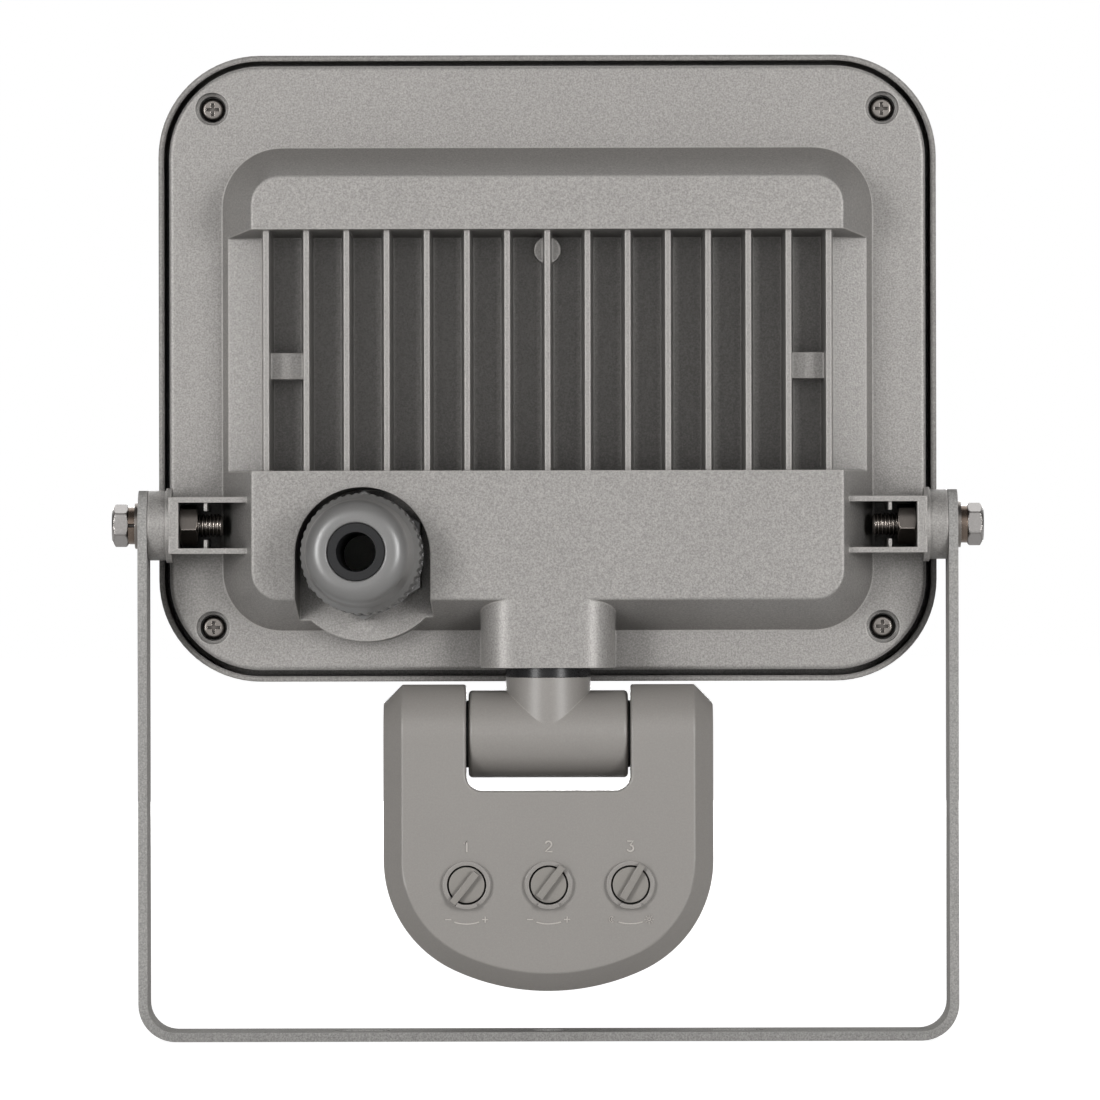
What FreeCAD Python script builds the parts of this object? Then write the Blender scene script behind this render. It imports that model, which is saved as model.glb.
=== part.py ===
import FreeCAD, Part
import Sketcher
import math
import os

# Motion sensor floodlight: a die-cast lamp housing on a folded steel bracket,
# with a passive infrared sensor head on a swivel arm below it.
# Millimetres, +Z up. The light shines towards -Y, so +Y is the finned rear.
# The origin is the centre of the fixing holes, on the wall face of the bracket.

V = FreeCAD.Vector
doc = FreeCAD.newDocument("motion_sensor_floodlight")
sheet = doc.addObject("Spreadsheet::Sheet", "sizes")


class Size:
    """A number and the sheet formula that gives it."""

    def __init__(self, value, formula):
        self.value = float(value)
        self.formula = formula

    def __add__(self, other):
        other = as_size(other)
        return Size(self.value + other.value, "(%s + %s)" % (self.formula, other.formula))

    def __sub__(self, other):
        other = as_size(other)
        return Size(self.value - other.value, "(%s - %s)" % (self.formula, other.formula))

    def __mul__(self, other):
        other = as_size(other)
        return Size(self.value * other.value, "(%s * %s)" % (self.formula, other.formula))

    def __truediv__(self, other):
        other = as_size(other)
        return Size(self.value / other.value, "(%s / %s)" % (self.formula, other.formula))

    def __neg__(self):
        return Size(-self.value, "(0 - %s)" % self.formula)

    __radd__ = __add__

    def __rsub__(self, other):
        return as_size(other) - self

    __rmul__ = __mul__


def as_size(number):
    if isinstance(number, Size):
        return number
    return Size(number, repr(float(number)))


def tan_of(angle):
    return Size(math.tan(math.radians(angle.value)), "tan(%s * 1 deg)" % angle.formula)


def cos_of(angle):
    return Size(math.cos(math.radians(angle.value)), "cos(%s * 1 deg)" % angle.formula)


def sin_of(angle):
    return Size(math.sin(math.radians(angle.value)), "sin(%s * 1 deg)" % angle.formula)


class Sizes:
    """The rows of the sheet by name."""


s = Sizes()
sheet_rows = []


def size(name, value):
    """One row of the sheet: a name and its plain number."""
    cell = "B%d" % (len(sheet_rows) + 1)
    sheet.set("A%d" % (len(sheet_rows) + 1), name)
    sheet.set(cell, str(value))
    sheet.setAlias(cell, name)
    sheet_rows.append(name)
    setattr(s, name, Size(value, "sizes.%s" % name))


# Lengths in millimetres, angles in degrees, and counts
SIZES = {
    # Bracket: one folded strip
    "pivot_height": 110.5,
    "strip_width": 15,
    "strip_thick": 2,
    "bracket_half": 87.8,
    "bend_radius": 8,
    "pivot_hole_radius": 2.75,
    "centre_hole_radius": 4.25,
    "slot_spacing": 80,
    "slot_length": 12,
    "slot_width": 5.5,

    # Housing: flange, rim and the drafted plateau
    "lamp_height": 144.4,
    "flange_width": 163,
    "flange_tall": 130.2,
    "flange_corner": 19.75,
    "flange_level": -6,
    "flange_edge_round": 0.9,
    "rim_front": -20,
    "wall": 3,
    "plateau_width": 140,
    "plateau_tall": 104,
    "plateau_corner": 12.8,
    "plateau_centre": 139.8,
    "plateau_rise": 16.5,
    "plateau_draft": 22.2,
    "plateau_edge_round": 0.6,

    # Cooling fins in their pocket
    "fin_floor": -1.7,
    "fin_low": 122.1,
    "fin_high": 173.7,
    "fin_end_draft": 6.4,
    "fin_count": 15,
    "fin_pitch": 8.59,
    "fin_tip": 1.2,
    "fin_root": 2.5,
    "fin_drop": 2,
    "shelf_drop": 1.2,
    "tie_low": 141.8,
    "tie_high": 147.4,
    "tie_level": 4,
    "pin_mark_radius": 2.85,
    "pin_mark_height": 169.4,
    "pin_mark_level": 3,

    # Corner screws
    "screw_spread_x": 144.4,
    "screw_spread_z": 111.8,
    "screw_recess_radius": 3.55,
    "screw_recess_depth": 2.5,
    "screw_head_radius": 2.5,
    "screw_head_tall": 1.9,
    "screw_head_round": 0.85,
    "screw_head_sink": 0.3,
    "screw_cross_reach": 1.4,
    "screw_cross_half": 0.36,
    "screw_cross_depth": 1.15,
    "screw_seat_radius": 2.85,
    "screw_clearance": 0.15,
    "thread_clearance": 0.05,
    "screw_radius": 1.5,
    "screw_length": 10.5,
    "screw_post_radius": 4.8,
    "post_meeting": -16,
    "post_gap": 0.05,

    # Nut channels and pivot ears
    "channel_half": 6.05,
    "channel_wall": 1.15,
    "channel_inner_end": 63.9,
    "channel_end_inside": 79.05,
    "channel_end_outside": 81.15,
    "channel_level": 7.7,
    "channel_floor": -11,
    "channel_floor_start": 70.4,
    "rib_start": 72.9,
    "rib_thick": 0.7,
    "rib_half_gap": 3.1,
    "rib_level": 7,
    "ear_radius": 7.5,
    "ear_lip_radius": 8,
    "ear_lip_thick": 0.7,
    "ear_gap": 0.1,

    # Pivot hardware, M5
    "bolt_radius": 2.5,
    "bolt_length": 20.3,
    "bolt_head_flats": 8,
    "bolt_head_tall": 3.5,
    "flat_washer_radius": 5,
    "flat_washer_thick": 0.8,
    "spring_washer_radius": 4,
    "spring_washer_thick": 1.4,
    "spring_washer_cut": 0.8,
    "washer_bore_radius": 2.65,
    "pivot_nut_tall": 4,
    "pivot_nut_clearance": 0.03,
    "pivot_nut_turn": -11,
    "bolt_head_turn": 32,
    "hexagon_cone_angle": 30,
    "hexagon_face_ratio": 0.97,

    # Cable gland and its seat
    "gland_x": 38.95,
    "gland_height": 103.85,
    "gland_lean": 3.5,
    "gland_rise": 2,
    "gland_pad_radius": 18.3,
    "gland_arch_radius": 14.4,
    "gland_pad_level": 0,
    "gland_thread_radius": 10,
    "gland_hole_clearance": 0.3,
    "gland_room_radius": 14.7,
    "gland_washer_thick": 1.2,
    "gland_washer_radius": 12.3,
    "gland_washer_clearance": 0.1,
    "gland_hex_flats": 24,
    "gland_hex_turn": 30,
    "gland_hex_tall": 5.5,
    "gland_nut_radius": 12.9,
    "gland_nut_tall": 20.8,
    "gland_nut_gap": 0.2,
    "gland_rib_tall": 9,
    "gland_rib_count": 44,
    "gland_collar_tall": 1.3,
    "gland_groove_radius": 0.65,
    "gland_groove_offset": 0.3,
    "gland_foot_round": 0.5,
    "gland_rib_round": 1.2,
    "gland_shoulder_radius": 11.7,
    "gland_shoulder_tall": 2.2,
    "gland_shoulder_round": 1,
    "gland_dome_radius": 10.8,
    "gland_dome_round": 3.6,
    "gland_mouth_radius": 6.2,
    "gland_mouth_round": 0.4,
    "gland_mouth_depth": 6,
    "gland_cone_depth": 9,
    "gland_tube_radius": 9.6,
    "gland_tube_length": 9.4,
    "gland_seal_clearance": 0.05,
    "gland_seal_radius": 6.1,
    "gland_seal_length": 16,
    "gland_seal_face": 0.6,
    "gland_seal_lead": 2,
    "gland_seal_flare": 0.12,
    "gland_cable_radius": 4.1,
    "gland_locknut_tall": 4,
    "gland_thread_end": 1,

    # Stem boss under the lamp
    "boss_half": 14.4,
    "boss_low": 79.9,
    "boss_corner": 7,
    "boss_wall": 3.5,
    "boss_rear_wall": 2.5,
    "boss_floor_thick": 3.3,
    "stem_y": -0.6,
    "stem_nut_flats": 14,
    "stem_nut_tall": 4.5,
    "stem_thread_end": 1,
    "stem_neck_radius": 5.5,
    "running_clearance": 0.05,
    "stem_seal_radius": 9.13,
    "stem_seal_thick": 2.1,
    "stem_seal_clearance": 0.2,

    # Front frame, glass and inner parts of the lamp
    "frame_width": 168,
    "frame_tall": 135.3,
    "frame_corner": 22,
    "frame_rear": -10.5,
    "frame_plate_rear": -22.5,
    "frame_front": -28.5,
    "frame_wall": 1.2,
    "frame_front_chamfer": 1.5,
    "frame_post_radius": 3.2,
    "post_clearance": 0.2,
    "window_width": 134,
    "window_tall": 101,
    "window_corner": 8,
    "glass_overlap": 4,
    "glass_thick": 4,
    "glass_gasket_thick": 0.5,
    "glass_clearance": 0.3,
    "reflector_wall": 1,
    "reflector_flange": 1.8,
    "reflector_depth": 10,
    "reflector_draft": 40,
    "board_thick": 1.6,
    "led_board_width": 126,
    "led_board_tall": 92,
    "led_board_corner": 3,
    "led_columns": 8,
    "led_rows": 5,
    "led_pitch_x": 13,
    "led_pitch_z": 13,
    "led_size": 3,
    "led_thick": 0.7,
    "board_screw_x": 55,
    "board_screw_high": 182,
    "board_screw_low": 127,
    "board_screw_length": 5,
    "cavity_left": -56,
    "cavity_right": 16,
    "cavity_low": 97.5,
    "cavity_high": 119,
    "cavity_level": 7.3,
    "driver_board_level": -4,
    "driver_margin": 1,
    "driver_post_radius": 2.5,
    "driver_post_inset": 4.5,
    "driver_screw_depth": 2,
    "coil_place": 24,
    "core_width": 16,
    "core_tall": 14,
    "core_thick": 2,
    "coil_width": 10,
    "coil_tall": 15,
    "coil_thick": 6,
    "capacitor_radius": 3.5,
    "capacitor_length": 10,
    "capacitor_near": 14,
    "capacitor_far": 22,
    "capacitor_up": 3.5,
    "capacitor_down": 3,
    "terminal_place": 27,
    "terminal_width": 8,
    "terminal_deep": 9,
    "terminal_low": 1,
    "terminal_high": 6,
    "terminal_bore_radius": 1.8,
    "terminal_bore_depth": 3,
    "terminal_bore_low": 4,
    "terminal_spacing": 6.5,

    # Swivel arm between the lamp and the sensor head
    "barrel_height": 65.6,
    "barrel_radius": 9.35,
    "barrel_end_round": 0.9,
    "barrel_half": 17.1,
    "stem_radius": 9.1,
    "trunnion_radius": 5,
    "trunnion_length": 7.5,
    "trunnion_end_gap": 0.3,
    "hub_radius": 7.2,
    "hub_gap": 0.5,
    "lead_bore_radius": 2.6,

    # Sensor head
    "head_half": 35.3,
    "head_ear_radius": 10.65,
    "head_low": 10.7,
    "head_corner": 26.06,
    "head_bottom_radius": 48,
    "head_bevel": 4,
    "head_slot_low": 53.7,
    "head_slot_corner": 3.4,
    "head_slot_round": 0.6,
    "head_wall": 2,
    "head_front": -12,
    "head_front_bevel": 2,
    "head_cover_top": 58,
    "head_cover_clearance": 0.15,
    "lens_height": 33,
    "lens_radius": 17.5,
    "lens_wall": 0.9,
    "lens_reach": 13,
    "lens_flange": 0.7,
    "lens_shoulder": 6.5,
    "lens_shoulder_round": 5,
    "lens_crown_radius": 11.6,
    "lens_crown_round": 6,
    "lens_clearance": 0.15,
    "sensor_board_width": 52,
    "sensor_board_low": 27,
    "sensor_board_high": 47,
    "sensor_board_rear": 2.5,
    "sensor_post_radius": 2.4,
    "sensor_post_inset": 2.5,
    "sensor_post_rise": 8,
    "sensor_screw_radius": 0.95,
    "sensor_screw_length": 5,
    "sensor_screw_head": 2,
    "sensor_screw_head_tall": 1.4,
    "can_radius": 4.6,
    "can_tall": 4.2,
    "can_flange": 0.5,
    "can_flange_thick": 0.6,
    "can_window_width": 4,
    "can_window_tall": 3,
    "can_window_depth": 0.3,
    "light_cell_x": 11,
    "light_cell_rise": 6,
    "light_cell_radius": 2.5,
    "light_cell_tall": 2,

    # Setting knobs on the sensor head
    "knob_spacing": 17.5,
    "knob_height": 33.6,
    "collar_radius": 5.1,
    "collar_bore_radius": 4.2,
    "collar_rise": 0.9,
    "knob_radius": 3.8,
    "knob_sink": 0.2,
    "bar_width": 1.5,
    "bar_rise": 1.3,
    "bar_inset": 0.5,
    "bar_overlap": 0.5,
    "pointer_reach": 4.85,
    "pointer_gap": 0.2,
    "stop_half_angle": 27.5,
    "stop_rise": 1,
    "pot_width": 9,
    "pot_tall": 4,
    "pot_collar_radius": 3,
    "pot_shell_gap": 0.3,
    "knob_shaft_radius": 1.5,
    "knob_shaft_gap": 1.2,
    "knob_one_angle": 218.6,
    "knob_two_angle": 37,
    "knob_three_angle": 30,
}

for name, value in SIZES.items():
    size(name, value)

doc.recompute()

# Sizes worked out from the rows above
zero = as_size(0)
plateau_top = s.flange_level + s.plateau_rise
ear_face = s.bracket_half - s.strip_thick - s.ear_gap
screw_seat = s.flange_level - s.screw_recess_depth - s.screw_head_tall - s.screw_head_sink
glass_front = s.frame_plate_rear - s.glass_thick
rebate_floor = glass_front - s.glass_gasket_thick
floor_level = s.flange_level - s.wall
boss_floor = s.boss_low + s.boss_floor_thick
stem_top = s.boss_low - s.stem_seal_thick
head_rear = s.stem_y + s.head_ear_radius
collar_level = head_rear + s.collar_rise
disc_level = collar_level - s.knob_sink
knob_places = [("one", s.knob_spacing, s.knob_one_angle),
               ("two", zero, s.knob_two_angle),
               ("three", -s.knob_spacing, s.knob_three_angle)]

# Working margins that leave no mark on the part
BITE = 0.5      # how far a pad reaches into the solid that it joins
PAST = 1        # how far a cut reaches past the face that it opens
SLIVER = 0.01   # keeps a rounded end from needing a line of no length

# Each plane of a body: its role and the sign of its normal along the world axis
PLANES = {"XY": ("XY_Plane", 1), "XZ": ("XZ_Plane", -1), "YZ": ("YZ_Plane", 1)}

parts = []


def bind(thing, path, amount):
    """Ties one property to the sheet, or sets a plain number."""
    thing.setExpression(path, as_size(amount).formula)


def new_part(label):
    body = doc.addObject("PartDesign::Body", label)
    body.Label = label
    parts.append(body)
    return body


def place(body, x=0, y=0, z=0):
    for axis, amount in (("x", x), ("y", y), ("z", z)):
        if as_size(amount).value or isinstance(amount, Size):
            bind(body, "Placement.Base.%s" % axis, amount)


class Drawing:
    """A sketch in the making: its geometry, its ties and its dimensions from the sheet."""

    def __init__(self, sketch):
        self.sketch = sketch
        self.geometry = []
        self.corners = []
        self.ties = []
        self.dimensions = []

    def add(self, item):
        self.geometry.append(item)
        return len(self.geometry) - 1

    def add_corner(self, point):
        """A construction point where two lines would meet: numbered after the geometry."""
        self.corners.append(Part.Point(point))
        return "corner %d" % (len(self.corners) - 1)

    def tie(self, *words):
        self.ties.append(words)

    def radius(self, item, amount):
        self.dimensions.append(("Radius", (item,), as_size(amount)))

    def across(self, item, point, amount):
        self.dimensions.append(("DistanceX", (-1, 1, item, point), as_size(amount)))

    def upward(self, item, point, amount):
        self.dimensions.append(("DistanceY", (-1, 1, item, point), as_size(amount)))

    def at_point(self, item, point, x, y):
        self.across(item, point, x)
        self.upward(item, point, y)

    def number(self, word):
        if isinstance(word, str):
            return len(self.geometry) + int(word.split()[1])
        return word

    def finish(self):
        """Adds everything to the sketch at once and binds each dimension to its formula."""
        self.sketch.addGeometry(self.geometry, False)
        if self.corners:
            self.sketch.addGeometry(self.corners, True)
        made = []
        for kind, *words in self.ties:
            made.append(Sketcher.Constraint(kind, *[self.number(word) for word in words]))
        for i, (kind, words, amount) in enumerate(self.dimensions):
            numbers = [self.number(word) for word in words]
            constraint = Sketcher.Constraint(kind, *numbers, amount.value)
            constraint.Name = "size%d" % i
            made.append(constraint)
        self.sketch.addConstraint(made)
        for i, (kind, words, amount) in enumerate(self.dimensions):
            self.sketch.setExpression("Constraints.size%d" % i, amount.formula)
        self.sketch.Visibility = False
        return self.sketch


def new_sketch(body, plane, level):
    """A sketch on one of the body's own planes, moved along the world axis to its level."""
    role, sign = PLANES[plane]
    support = [item for item in body.Origin.OriginFeatures if item.Role == role][0]
    sketch = body.newObject("Sketcher::SketchObject", "%s_sketch" % body.Label)
    sketch.AttachmentSupport = [(support, "")]
    sketch.MapMode = "FlatFace"
    bind(sketch, "AttachmentOffset.Base.z", as_size(level) * sign)
    return Drawing(sketch)


def add_circle(drawing, x, y, radius):
    x = as_size(x)
    y = as_size(y)
    radius = as_size(radius)
    circle = drawing.add(Part.Circle(V(x.value, y.value, 0), V(0, 0, 1), radius.value))
    drawing.at_point(circle, 3, x, y)
    drawing.radius(circle, radius)


def corner_arc(before, here, after, radius):
    """Arc that rounds a corner: its ends, and whether it turns to the left."""
    back = (before - here).normalize()
    ahead = (after - here).normalize()
    half = back.getAngle(ahead) / 2
    reach = radius / math.tan(half)
    middle = (back + ahead).normalize()
    centre = here + middle * (radius / math.sin(half))
    start = here + back * reach
    end = here + ahead * reach
    left = (here - before).cross(after - here).z > 0
    return start, end, centre, left


def add_outline(drawing, corners):
    """Closed outline through corners (x, y) or (x, y, radius), all tied to the sheet."""
    corners = [tuple(as_size(item) for item in corner) for corner in corners]
    count = len(corners)
    points = [V(corner[0].value, corner[1].value, 0) for corner in corners]
    starts = list(points)
    ends = list(points)
    arcs = {}
    for i in range(count):
        if len(corners[i]) == 3:
            start, end, centre, left = corner_arc(
                points[i - 1], points[i], points[(i + 1) % count], corners[i][2].value)
            ends[i] = start
            starts[i] = end
            arcs[i] = (start, end, centre, left)
    lines = []
    for i in range(count):
        lines.append(drawing.add(Part.LineSegment(starts[i], ends[(i + 1) % count])))
    for i in range(count):
        before = lines[i - 1]
        after = lines[i]
        if i not in arcs:
            drawing.tie("Coincident", before, 2, after, 1)
            drawing.at_point(after, 1, corners[i][0], corners[i][1])
            continue
        start, end, centre, left = arcs[i]
        radius = corners[i][2]
        first, last = (start, end) if left else (end, start)
        angle_first = math.atan2(first.y - centre.y, first.x - centre.x)
        angle_last = math.atan2(last.y - centre.y, last.x - centre.x)
        arc = drawing.add(Part.ArcOfCircle(
            Part.Circle(centre, V(0, 0, 1), radius.value), angle_first, angle_last))
        corner = drawing.add_corner(points[i])
        drawing.at_point(corner, 1, corners[i][0], corners[i][1])
        near, far = (1, 2) if left else (2, 1)
        drawing.tie("PointOnObject", corner, 1, before)
        drawing.tie("PointOnObject", corner, 1, after)
        drawing.tie("Tangent", before, 2, arc, near)
        drawing.tie("Tangent", after, 1, arc, far)
        drawing.radius(arc, radius)


def add_box_outline(drawing, x_low, x_high, y_low, y_high, radius=None):
    corners = [(x_low, y_low), (x_high, y_low), (x_high, y_high), (x_low, y_high)]
    if radius is not None:
        corners = [corner + (radius,) for corner in corners]
    add_outline(drawing, corners)


def add_centred_outline(drawing, centre, width, tall, radius):
    """Rounded rectangle centred on x = 0 at a height."""
    add_box_outline(drawing, -(width / 2), width / 2,
                    centre - tall / 2, centre + tall / 2, radius)


def add_shield(drawing, half, top, low, corner, bottom):
    """Outline of the sensor head: straight sides and a three-arc bottom."""
    rise = math.sqrt((bottom.value - corner.value) ** 2 - (half.value - corner.value) ** 2)
    deep = V(0, low.value + bottom.value, 0)
    right = V(half.value - corner.value, deep.y - rise, 0)
    slope = math.atan2(right.y - deep.y, right.x)
    side = right.y
    circle_right = Part.Circle(right, V(0, 0, 1), corner.value)
    circle_left = Part.Circle(V(-right.x, right.y, 0), V(0, 0, 1), corner.value)
    circle_low = Part.Circle(deep, V(0, 0, 1), bottom.value)
    top_y = as_size(top).value
    pieces = [
        Part.LineSegment(V(half.value, side, 0), V(half.value, top_y, 0)),
        Part.LineSegment(V(half.value, top_y, 0), V(-half.value, top_y, 0)),
        Part.LineSegment(V(-half.value, top_y, 0), V(-half.value, side, 0)),
        Part.ArcOfCircle(circle_left, math.pi, math.pi - slope),
        Part.ArcOfCircle(circle_low, -math.pi - slope, slope),
        Part.ArcOfCircle(circle_right, slope, 0)]
    right_side, lid, left_side, left_arc, low_arc, right_arc = [
        drawing.add(piece) for piece in pieces]
    drawing.tie("Coincident", right_side, 2, lid, 1)
    drawing.tie("Coincident", lid, 2, left_side, 1)
    drawing.tie("Vertical", right_side)
    drawing.tie("Vertical", left_side)
    drawing.tie("Tangent", left_side, 2, left_arc, 1)
    drawing.tie("Tangent", left_arc, 2, low_arc, 1)
    drawing.tie("Tangent", low_arc, 2, right_arc, 1)
    drawing.tie("Tangent", right_arc, 2, right_side, 1)
    drawing.tie("PointOnObject", low_arc, 3, -2)
    drawing.at_point(lid, 1, half, top)
    drawing.at_point(lid, 2, -half, top)
    drawing.radius(low_arc, bottom)
    drawing.radius(right_arc, corner)
    drawing.radius(left_arc, corner)
    drawing.upward(low_arc, 3, low + bottom)


def span(body, kind, sketch, plane, start, end, taper=None):
    """Pad or pocket of a sketch from its own level, start, to the level end."""
    start = as_size(start)
    end = as_size(end)
    feature = body.newObject("PartDesign::%s" % kind, "%s_%s" % (body.Label, kind.lower()))
    feature.Profile = sketch.finish()
    feature.Refine = False
    upward = end.value > start.value
    along_normal = upward == (PLANES[plane][1] > 0)
    feature.Reversed = along_normal if kind == "Pocket" else not along_normal
    bind(feature, "Length", end - start if upward else start - end)
    if taper is not None:
        bind(feature, "TaperAngle", -taper)
    return feature


def pad_box(body, plane, level, end, *outline):
    sketch = new_sketch(body, plane, level)
    add_box_outline(sketch, *outline)
    return span(body, "Pad", sketch, plane, level, end)


def cut_box(body, plane, level, end, *outline):
    sketch = new_sketch(body, plane, level)
    add_box_outline(sketch, *outline)
    return span(body, "Pocket", sketch, plane, level, end)


def pad_round(body, plane, level, end, centres, radius):
    sketch = new_sketch(body, plane, level)
    for x, y in centres:
        add_circle(sketch, x, y, radius)
    return span(body, "Pad", sketch, plane, level, end)


def cut_round(body, plane, level, end, centres, radius):
    sketch = new_sketch(body, plane, level)
    for x, y in centres:
        add_circle(sketch, x, y, radius)
    return span(body, "Pocket", sketch, plane, level, end)


def add_hexagon(drawing, flats, turn=zero):
    """Regular hexagon about the origin, sized across its flats, one corner at an angle."""
    reach = flats / math.sqrt(3)
    corners = []
    for i in range(6):
        angle = turn + 60 * i
        corners.append((reach * cos_of(angle), reach * sin_of(angle)))
    add_outline(drawing, corners)


def revolve(body, corners):
    """Turned piece: corners (radius, level) in the XY plane about the body's Y axis."""
    sketch = new_sketch(body, "XY", 0)
    add_outline(sketch, corners)
    feature = body.newObject("PartDesign::Revolution", "%s_turned" % body.Label)
    feature.Profile = sketch.finish()
    feature.ReferenceAxis = (sketch.sketch, ["V_Axis"])
    feature.Angle = 360
    return feature


def edges_where(shape, test):
    return ["Edge%d" % (i + 1) for i, edge in enumerate(shape.Edges) if test(edge)]


def dress(body, kind, base, test, amount):
    """Fillet or chamfer on the edges of the base feature that pass the test."""
    base.Refine = True
    doc.recompute()
    names = edges_where(base.Shape, test)
    feature = body.newObject("PartDesign::%s" % kind, "%s_%s" % (body.Label, kind.lower()))
    feature.Base = (base, names)
    bind(feature, "Radius" if kind == "Fillet" else "Size", amount)
    return feature


def edge_at_level(level, axis="y"):
    """Test for edges that lie whole in one plane."""
    def test(edge):
        box = edge.BoundBox
        low = {"x": box.XMin, "y": box.YMin, "z": box.ZMin}[axis]
        high = {"x": box.XMax, "y": box.YMax, "z": box.ZMax}[axis]
        return abs(low - as_size(level).value) < 1e-4 and abs(high - as_size(level).value) < 1e-4
    return test


def make_bracket():
    """U-shaped strip with round leg ends, pivot holes, and fixing holes in the crossbar."""
    body = new_part("bracket")
    inner = s.bracket_half - s.strip_thick
    inner_bend = s.bend_radius - s.strip_thick
    sketch = new_sketch(body, "XZ", -(s.strip_width / 2))
    add_outline(sketch, [
        (-s.bracket_half, zero, s.bend_radius),
        (s.bracket_half, zero, s.bend_radius),
        (s.bracket_half, s.pivot_height),
        (inner, s.pivot_height),
        (inner, s.strip_thick, inner_bend),
        (-inner, s.strip_thick, inner_bend),
        (-inner, s.pivot_height),
        (-s.bracket_half, s.pivot_height)])
    span(body, "Pad", sketch, "XZ", -(s.strip_width / 2), s.strip_width / 2)
    pivot = [(zero, s.pivot_height)]
    pad_round(body, "YZ", inner, s.bracket_half, pivot, s.strip_width / 2)
    pad_round(body, "YZ", -inner, -s.bracket_half, pivot, s.strip_width / 2)
    cut_round(body, "YZ", -s.bracket_half - PAST, s.bracket_half + PAST, pivot,
              s.pivot_hole_radius)
    cut_round(body, "XY", s.strip_thick + PAST, -PAST, [(zero, zero)], s.centre_hole_radius)
    sketch = new_sketch(body, "XY", s.strip_thick + PAST)
    for side in (1, -1):
        middle = s.slot_spacing / 2 * side
        add_box_outline(sketch, middle - s.slot_length / 2, middle + s.slot_length / 2,
                        -(s.slot_width / 2), s.slot_width / 2, s.slot_width / 2 - SLIVER)
    span(body, "Pocket", sketch, "XY", s.strip_thick + PAST, -PAST)


def gland_points(level):
    """Centre of the gland axis at a level along it: x, y and z in the lamp frame."""
    along = level - s.gland_pad_level
    x = s.gland_x + along * sin_of(s.gland_lean) * cos_of(s.gland_rise)
    y = s.gland_pad_level + along * cos_of(s.gland_lean) * cos_of(s.gland_rise)
    z = s.gland_height + along * sin_of(s.gland_rise)
    return x, y, z


def make_housing():
    """Die-cast rear housing: flange, drafted plateau, fins, channels, gland seat and boss."""
    body = new_part("housing")
    sketch = new_sketch(body, "XZ", s.rim_front)
    add_centred_outline(sketch, s.lamp_height, s.flange_width, s.flange_tall, s.flange_corner)
    rim = span(body, "Pad", sketch, "XZ", s.rim_front, s.flange_level)
    dress(body, "Fillet", rim, edge_at_level(s.flange_level), s.flange_edge_round)
    sketch = new_sketch(body, "XZ", s.rim_front)
    add_centred_outline(sketch, s.lamp_height, s.flange_width - s.wall * 2,
                        s.flange_tall - s.wall * 2, s.flange_corner - s.wall)
    span(body, "Pocket", sketch, "XZ", s.rim_front, floor_level)
    sketch = new_sketch(body, "XZ", s.flange_level)
    add_centred_outline(sketch, s.plateau_centre, s.plateau_width, s.plateau_tall,
                        s.plateau_corner)
    plateau = span(body, "Pad", sketch, "XZ", s.flange_level, plateau_top, s.plateau_draft)
    dress(body, "Fillet", plateau, edge_at_level(plateau_top), s.plateau_edge_round)
    add_stem_boss(body)
    add_gland_pad(body)
    add_fins(body)
    cut_gland_arch(body)
    for side in (1, -1):
        add_channel(body, side)
    add_screw_posts(body)
    cut_cavities(body)


def add_stem_boss(body):
    """Rounded boss that carries the swivel arm, flush with the plateau."""
    sketch = new_sketch(body, "XY", s.boss_low)
    add_outline(sketch, [
        (-s.boss_half, floor_level), (s.boss_half, floor_level),
        (s.boss_half, plateau_top, s.boss_corner),
        (-s.boss_half, plateau_top, s.boss_corner)])
    top = s.plateau_centre - s.plateau_tall / 2 + s.plateau_rise
    span(body, "Pad", sketch, "XY", s.boss_low, top)


def add_gland_pad(body):
    """Round pad of the gland seat, square to the leaning gland axis."""
    pad = body.newObject("PartDesign::Pad", "housing_seat_pad")
    sketch = lean_sketch(body, s.flange_level - PAST)
    add_circle(sketch, 0, 0, s.gland_pad_radius)
    pad.Profile = sketch.finish()
    pad.Reversed = True
    bind(pad, "Length", s.gland_pad_level - s.flange_level + PAST)


def cut_gland_arch(body):
    """Arch-shaped recess that frees the gland of the plateau, and of any fin that it meets."""
    arch = body.newObject("PartDesign::Pocket", "housing_seat_arch")
    sketch = lean_sketch(body, s.gland_pad_level)
    radius = s.gland_arch_radius
    add_outline(sketch, [
        (-radius, -radius * 2), (radius, -radius * 2),
        (radius, radius, radius - SLIVER), (-radius, radius, radius - SLIVER)])
    arch.Profile = sketch.finish()
    bind(arch, "Length", s.plateau_rise)


def lean_sketch(body, level):
    """A sketch square to the gland axis, at a level along it."""
    plane = [item for item in body.Origin.OriginFeatures if item.Role == "XZ_Plane"][0]
    sketch = body.newObject("Sketcher::SketchObject", "%s_lean_sketch" % body.Label)
    sketch.AttachmentSupport = [(plane, "")]
    sketch.MapMode = "FlatFace"
    sketch.AttachmentOffset = FreeCAD.Placement(V(0, 0, 0), V(0, 0, 1), 0)
    x, y, z = gland_points(as_size(level))
    bind(sketch, "AttachmentOffset.Base.x", x)
    bind(sketch, "AttachmentOffset.Base.y", z)
    bind(sketch, "AttachmentOffset.Base.z", -y)
    bind(sketch, "AttachmentOffset.Rotation.Pitch", -s.gland_lean)
    bind(sketch, "AttachmentOffset.Rotation.Roll", s.gland_rise)
    return Drawing(sketch)


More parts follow.
